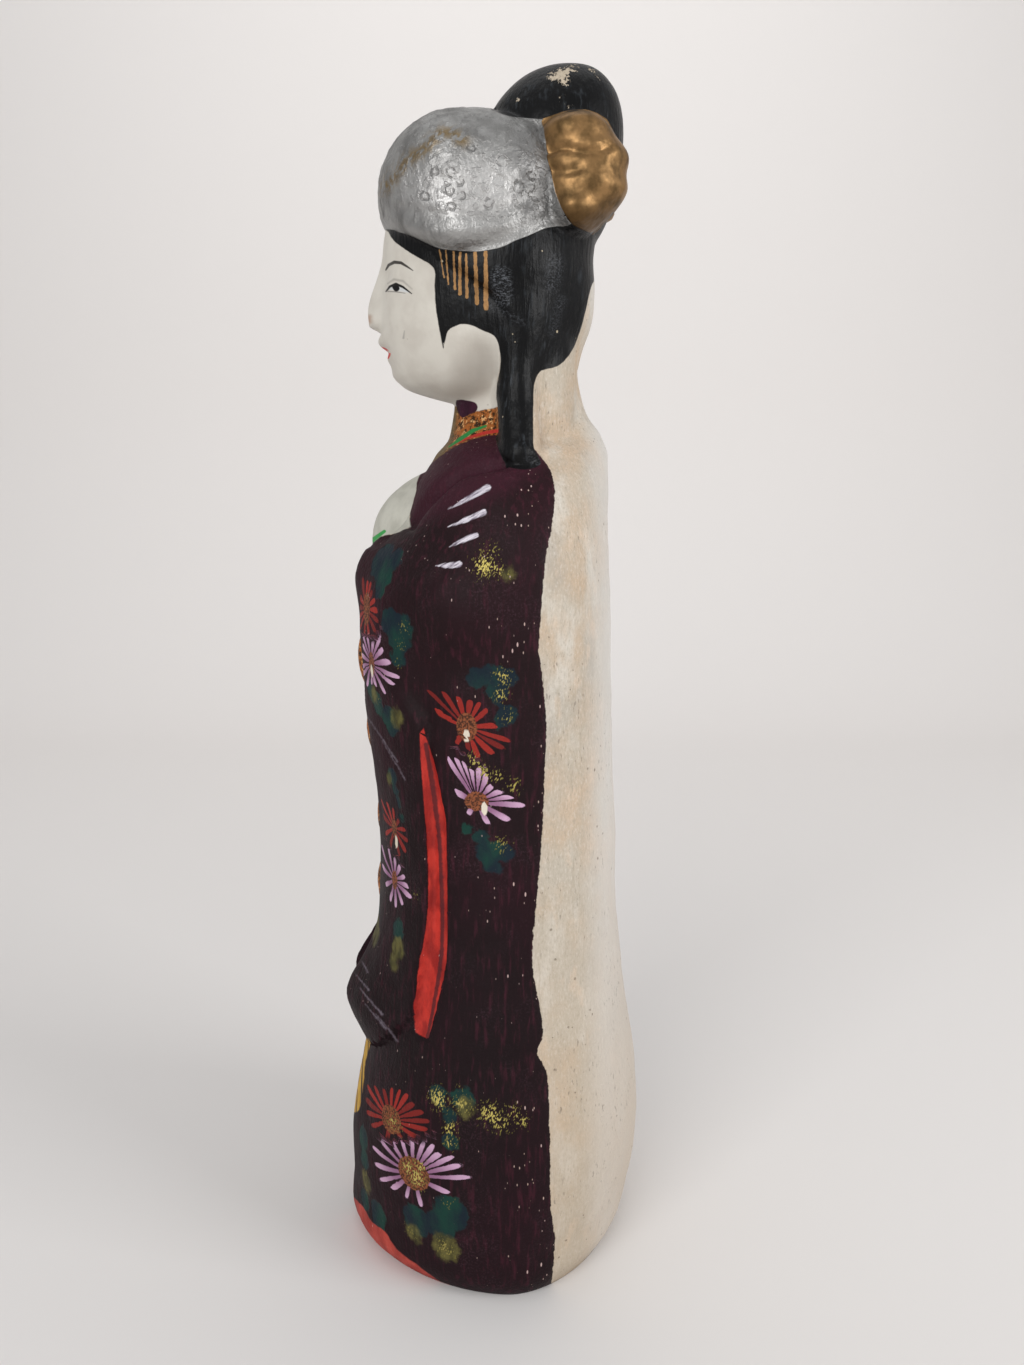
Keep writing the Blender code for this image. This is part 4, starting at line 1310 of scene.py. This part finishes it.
def chrysanthemums(paint, coat):
    """Red and pink flowers: spoon-shaped petals round a brown disc, with a white drop on some."""
    along, across, span = paint.parts(paint.kept("flower_place", wide=True))
    colour_kind, petals, seed = paint.parts(paint.kept("flower_make", wide=True))
    near = paint.kept("flower_near")
    share = paint.math("SQRT", paint.scaled(along, along, paint.times(across, across)))
    turn = paint.math("ARCTAN2", across, along)
    place = paint.scaled(turn, paint.math("DIVIDE", petals, 2 * np.pi), petals)
    number = paint.math("FLOOR", paint.plus(place, 0.5))
    whole = paint.math("MODULO", number, petals)
    luck = paint.add("ShaderNodeTexWhiteNoise", {"W": paint.plus(whole, seed)}, noise_dimensions="1D")
    chance, breadth, _ = paint.parts(luck.outputs["Color"])
    aside = paint.times(paint.math("ABSOLUTE", paint.minus(place, number)), span)
    far = paint.scaled(chance, 0.08, 0.96)
    share = paint.math("DIVIDE", share, far)
    taper = paint.minus(1.0, paint.math("POWER", share, 9.0))
    taper = paint.math("SQRT", paint.math("MAXIMUM", taper, 0.0))
    swell = paint.scaled(paint.math("POWER", share, 1.6), 0.62, 0.42)
    width = paint.times(swell, paint.scaled(breadth, 0.35, 0.82))
    width = paint.times(paint.times(width, taper), PETAL_HALF_WIDTH)
    width = paint.math("MINIMUM", width, paint.scaled(span, 0.5, -PETAL_GAP))
    rag = paint.scaled(paint.grain(0.7, 3), 0.24, -0.12)
    petal = paint.step(paint.plus(paint.minus(width, aside), rag), -0.08, 0.08)
    petal = paint.times(paint.times(petal, near), paint.step(share, 1.0, 0.975))
    red = paint.between(chance, (102, 28, 26), (152, 42, 34))
    pink = paint.between(paint.step(share, 0.4, 1.0), (140, 98, 128), (196, 158, 186))
    petal_coat = (paint.mix(colour_kind, red, pink), 0.58, 0.0, coat[3])
    coat = paint.lay(petal, coat, petal_coat)
    ragged = paint.scaled(paint.grain(0.9, 3), 0.9, -0.45)
    disc = paint.step(paint.plus(paint.kept("flower_disc"), ragged), -0.15, 0.15)
    brown = paint.between(paint.step(paint.grain(0.5, 3), 0.40, 0.60), (66, 38, 26), (136, 78, 50))
    coat = paint.lay(paint.times(disc, near), coat, (brown, 0.6, 0.0, coat[3]))
    drop = paint.times(paint.step(paint.kept("flower_drop"), -0.12, 0.12), near)
    return paint.lay(drop, coat, (pigment(214, 204, 186), 0.5, 0.0, coat[3]))


def gold_dust(paint, coat):
    """Gold dust dabbed on in short slanting grains."""
    thick = paint.kept("gold_dust")
    grains = paint.grain(0.34, 1.5, rough=0.5, lean=72, long=2.4)
    shown = paint.minus(paint.scaled(thick, 0.24, grains), 0.70)
    shown = paint.times(paint.step(shown, -0.02, 0.05), paint.step(thick, 0.05, 0.25))
    gold = paint.between(paint.step(thick, 0.3, 0.9), (112, 104, 50), (190, 174, 96))
    return paint.lay(shown, coat, (gold, 0.5, 0.15, coat[3]))


def silver_strokes(paint, coat):
    """Strokes of silver at the elbow, and thin grey-lilac ones over the sleeve's front."""
    course = ()
    for start, end, broad in ELBOW_STROKES:
        middle = tuple(np.array(start) * 0.55 + np.array(end) * 0.45)
        course += ((start, middle, 0.2, broad * 0.8), (middle, end, broad * 0.8, broad))
    streaks = paint.grain(0.55, 4, lean=27, long=7.0)
    near = paint.plus(paint.streak(course), paint.scaled(streaks, 3.0, -1.7))
    silver = paint.between(paint.step(streaks, 0.36, 0.64), (128, 118, 132), (214, 208, 216))
    coat = paint.lay(paint.step(near, -0.8, 0.8), coat, (silver, 0.42, 0.2, coat[3]))
    thin = tuple((start, end, 0.5, broad) for start, end, broad in SLEEVE_STROKES)
    near = paint.plus(paint.streak(thin), paint.scaled(paint.grain(0.8, 4, shift=90), 4.0, -2.4))
    lilac = (pigment(112, 102, 112), 0.55, 0.0, coat[3])
    aside = paint.step(paint.math("ABSOLUTE", paint.parts(paint.place)[0]), 9, 14, 0, 0.75)
    return paint.lay(paint.times(paint.step(near, -1.2, 1.4), aside), coat, lilac)


def collar_bands(paint, coat):
    """Brocade collar with its green and red edges, and the plum stub above it."""
    spots = paint.grain(1.3, 3, shift=50, rough=0.65)
    brown = paint.between(paint.step(spots, 0.42, 0.54), (58, 38, 20), (160, 94, 44))
    threads = paint.step(paint.grain(1.0, 3, shift=60, rough=0.65), 0.56, 0.64)
    brown = paint.tint(brown, threads, 214, 166, 112)
    olive_front = chain((452, 406, 5), (450, 426, 6), (438, 456, 7))
    brown = paint.drawn(brown, olive_front, -4, 3, 0.85, 92, 78, 40)
    brocade = (brown, 0.55, 0.15, paint.times(spots, 0.8))
    coat = paint.lay(paint.edge("brocade_reach", 0.7, 1.2), coat, brocade)
    red = chain((500, 430.5, 1.8), (482, 433.5, 1.7), (465, 439, 1.2), (450, 447.5, 0.4))
    coat = stroked(paint, coat, red, 176, 52, 44)
    green = chain((486, 426, 1.0), (473, 430.5, 2.0), (460, 439, 2.1), (449, 447, 0.9))
    coat = stroked(paint, coat, green, 44, 128, 66)
    stub = paint_flat(paint, (40, 14, 28), (56, 22, 40), 3, 0.65, 22)
    return paint.lay(paint.edge("stub_reach", 0.6, 0.4), coat, stub)


def under_robe(paint, coat):
    """Off-white under-robe, the collar's green edge in painted shade along its top, and a green stroke at its
    foot.
    """
    white = paint_flat(paint, (190, 188, 177), (172, 170, 159), 5, 0.6, 27)
    coat = paint.lay(paint.edge("under_robe_reach", 0.6, 0.4), coat, white)
    # The collar's green edge where it tucks under the robe, darkened as painted shade
    dark = chain((426, 466, 1.8), (414, 473, 2.0)) + chain((414, 473, 1.2), (396, 488, 0.4))
    coat = stroked(paint, coat, dark, 30, 46, 50)
    green = chain((385, 531.5, 1.6), (372, 541.5, 2.4), (350, 552, 2.0))
    return stroked(paint, coat, green, 62, 150, 78)


def lining(paint, coat):
    """Vermilion lining that shows in the sleeve's slit, with its dark crease."""
    red = paint_flat(paint, (146, 38, 34), (194, 56, 46), 3, 0.5, 33)
    coat = paint.lay(paint.edge("lining_reach", 0.6, 0.8), coat, red)
    crease = paint.streak(chain(*((*point, 2.0) for point in LINING_CREASE)))
    crease = paint.plus(crease, paint.scaled(paint.grain(1.3, 4), 2.4, -1.1))
    return paint.lay(paint.step(crease, -0.8, 0.8, 0, 0.85), coat, (pigment(74, 34, 38), 0.6, 0.0, coat[3]))


def hem_and_skirt(paint, coat):
    """Red hem at the foot, and the yellow skirt strip with slanting black lines."""
    yellow = paint_flat(paint, (176, 132, 44), (206, 166, 70), 3, 0.6, 37)
    wave = {"Vector": paint.place, "Scale": 0.055, "Distortion": 2.0}
    bars = paint.add("ShaderNodeTexWave", wave, bands_direction="DIAGONAL")
    lined = paint.tint(yellow[0], paint.step(bars.outputs["Fac"], 0.86, 0.93), 50, 40, 30)
    coat = paint.lay(paint.edge("yellow_reach", 0.6, 0.5), coat, (lined, *yellow[1:]))
    red = paint_flat(paint, (150, 52, 44), (184, 74, 62), 5, 0.55, 41)
    return paint.lay(paint.edge("hem_reach", 0.7, 0.8), coat, red)


def flaked_specks(paint, coat):
    """Pin-point flakes in the dark paint, most of them towards its rear edge."""
    picture = paint.parts(paint.kept("picture", wide=True))
    rear = paint.step(picture[0], 400, 545, -0.06, 0.03)
    tall = (1, 1, 0.36)
    chance = paint.parts(paint.cells(0.95, 17, "Color", tall))[0]
    crowd = paint.step(paint.grain(12, 2, shift=70), 0.42, 0.60, -0.06, 0.07)
    size = paint.plus(paint.scaled(chance, 0.30, -0.165), paint.plus(rear, crowd))
    shown = paint.step(paint.minus(size, paint.cells(0.95, 17, stretch=tall)), -0.02, 0.05)
    tint = paint.between(chance, (186, 160, 120), (204, 176, 172))
    return paint.lay(paint.times(shown, 0.75), coat, (tint, 0.7, 0.0, coat[3]))


def painted_head():
    """Face, hair, headcloth, knots and bun."""
    paint = Palette("painted_head")
    coat = bare_clay(paint)
    coat = paint.lay(paint.edge("skin_reach", 1.2, 1.0), coat, paint_face(paint, white_skin(paint)))
    hair_coat = comb_marks(paint, black_hair(paint))
    coat = paint.lay(paint.edge("hair_reach", 0.5, 0.5), coat, hair_coat)
    clay_chip = (paint.between(paint.grain(0.8, 3), (150, 138, 120), (204, 190, 170)), 0.9, 0.0, -0.6)
    flaked = paint.scaled(paint.grain(0.9, 5, rough=0.7), 9.0, -5.4)
    chips = paint.step(paint.plus(paint.kept("chip_reach"), flaked), -0.1, 0.2)
    bun_coat = paint.lay(chips, black_hair(paint), clay_chip)
    coat = paint.lay(paint.edge("bun_reach", 0.12), coat, bun_coat)
    coat = paint.lay(paint.edge("silver_reach", 0.12), coat, silver_cloth(paint))
    coat = paint.lay(paint.edge("knot_reach", 0.12), coat, gold_cloth(paint))
    return paint.finish(coat, 0.15)


def painted_robe():
    """Robe with its motifs, collar, lining and hem, and the bare back."""
    paint = Palette("painted_robe")
    robe = silver_strokes(paint, gold_dust(paint, chrysanthemums(paint, leaves(paint, plum_robe(paint)))))
    robe = hem_and_skirt(paint, lining(paint, robe))
    robe = flaked_specks(paint, robe)
    coat = paint.lay(paint.edge("skin_reach", 1.2, 1.0), bare_clay(paint), white_skin(paint))
    coat = paint.lay(paint.edge("robe_reach", 0.6, 2.2), coat, robe)
    coat = under_robe(paint, collar_bands(paint, coat))
    coat = paint.lay(paint.edge("hair_reach", 0.5, 0.5), coat, black_hair(paint))
    return paint.finish(coat, 0.15)


def make_doll():
    """The finished doll, standing for its solid."""
    data = carve_doll()
    note_paint(data, *lay_relief(data))
    data.shade_smooth()
    data.materials.append(painted_robe())
    data.materials.append(painted_head())
    heights = np.array([face.center.z for face in data.polygons]) / PART
    data.polygons.foreach_set("material_index", (heights > HEAD_PAINT_FROM).astype(np.int32))
    piece = bpy.data.objects.new("painted_clay_doll", data)
    bpy.context.scene.collection.objects.link(piece)
    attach(piece, "root")
    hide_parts("clay_doll")
    return piece


# Studio

FLOOR_HALF = 1.6
WALL_PLACE = -1.0
WALL_HIGH = 1.5
WALL_BEND = 0.35
BEND_STEPS = 16
# Painted shade: the floor is greyer than the wall, graded from the bend forward
FLOOR_SHADED_FROM = 0.2
WALL_LOOK = (236, 232, 229)
FLOOR_PAINTED_SHADE_LOOK = (218, 215, 213)


def sweep():
    """A pale floor that bends up into the wall behind the doll, with painted shade that greys the floor."""
    mesh = bmesh.new()
    bmesh.ops.create_grid(mesh, x_segments=BEND_STEPS + 2, y_segments=1, size=1)
    turns = np.linspace(0, np.pi / 2, BEND_STEPS + 1)
    course = [(FLOOR_HALF, 0.0)]
    for turn in turns:
        course.append((WALL_PLACE + WALL_BEND * (1 - np.sin(turn)), WALL_BEND * (1 - np.cos(turn))))
    course += [(WALL_PLACE, WALL_HIGH)]
    across = sorted({round(point.co.x, 5) for point in mesh.verts})
    for point in mesh.verts:
        place = course[across.index(round(point.co.x, 5))]
        point.co = Vector((place[0], point.co.y * FLOOR_HALF, place[1]))
    bmesh.ops.recalc_face_normals(mesh, faces=mesh.faces)
    data = bpy.data.meshes.new("sweep")
    mesh.to_mesh(data)
    mesh.free()
    data.shade_smooth()
    material = bpy.data.materials.new("matt_backdrop")
    material.use_nodes = True
    shader = material.node_tree.nodes["Principled BSDF"]
    shader.inputs["Roughness"].default_value = 0.9
    nodes, links = material.node_tree.nodes, material.node_tree.links
    place = nodes.new("ShaderNodeSeparateXYZ")
    links.new(nodes.new("ShaderNodeTexCoord").outputs["Object"], place.inputs[0])
    nearer = nodes.new("ShaderNodeMapRange")
    for slot, value in (("From Min", WALL_PLACE + WALL_BEND), ("From Max", FLOOR_SHADED_FROM)):
        nearer.inputs[slot].default_value = value
    links.new(place.outputs[0], nearer.inputs["Value"])
    painted_shade = nodes.new("ShaderNodeMix")
    painted_shade.data_type = "RGBA"
    painted_shade.inputs[6].default_value = pigment(*WALL_LOOK)
    painted_shade.inputs[7].default_value = pigment(*FLOOR_PAINTED_SHADE_LOOK)
    links.new(nearer.outputs[0], painted_shade.inputs[0])
    links.new(painted_shade.outputs[2], shader.inputs["Base Color"])
    data.materials.append(material)
    piece = bpy.data.objects.new("sweep", data)
    bpy.context.scene.collection.objects.link(piece)


def soft_light(name, place, size, power, target=(0, 0, HEIGHT / 2)):
    """A square soft light that looks at the doll's middle, or at another place."""
    data = bpy.data.lights.new(name, "AREA")
    data.size = size
    data.energy = power
    lamp = bpy.data.objects.new(name, data)
    lamp.location = place
    lamp.rotation_euler = (Vector(place) - Vector(target)).to_track_quat("Z", "Y").to_euler()
    bpy.context.scene.collection.objects.link(lamp)


def light_studio():
    """Two soft lights beside the eye, one above, one on the wall, and pale air."""
    soft_light("left_softbox", (0.80, -0.34, 0.50), 0.50, 4.6)
    soft_light("right_softbox", (0.42, 0.80, 0.42), 0.45, 4.6)
    soft_light("top_softbox", (0.10, 0.0, 1.25), 0.9, 0.7)
    soft_light("wall_softbox", (-0.30, 0.0, 1.15), 0.8, 3.0, (-1.0, 0, 0.75))
    world = bpy.data.worlds.new("studio_air")
    world.use_nodes = True
    world.node_tree.nodes["Background"].inputs["Color"].default_value = pigment(232, 233, 235)
    world.node_tree.nodes["Background"].inputs["Strength"].default_value = 0.54
    bpy.context.scene.world = world
    bpy.context.scene.view_settings.view_transform = "Standard"


def place_camera():
    """The camera at the picture's eye."""
    data = bpy.data.cameras.new("side_view")
    data.sensor_width = 36.0
    data.lens = data.sensor_width * FOCUS / PICTURE_HIGH
    camera = bpy.data.objects.new("side_view", data)
    camera.location = EYE * PART
    camera.rotation_euler = (np.pi / 2 - EYE_SLOPE, 0, np.pi / 2)
    bpy.context.scene.collection.objects.link(camera)
    bpy.context.scene.camera = camera


place_camera()
light_studio()
sweep()
make_doll()
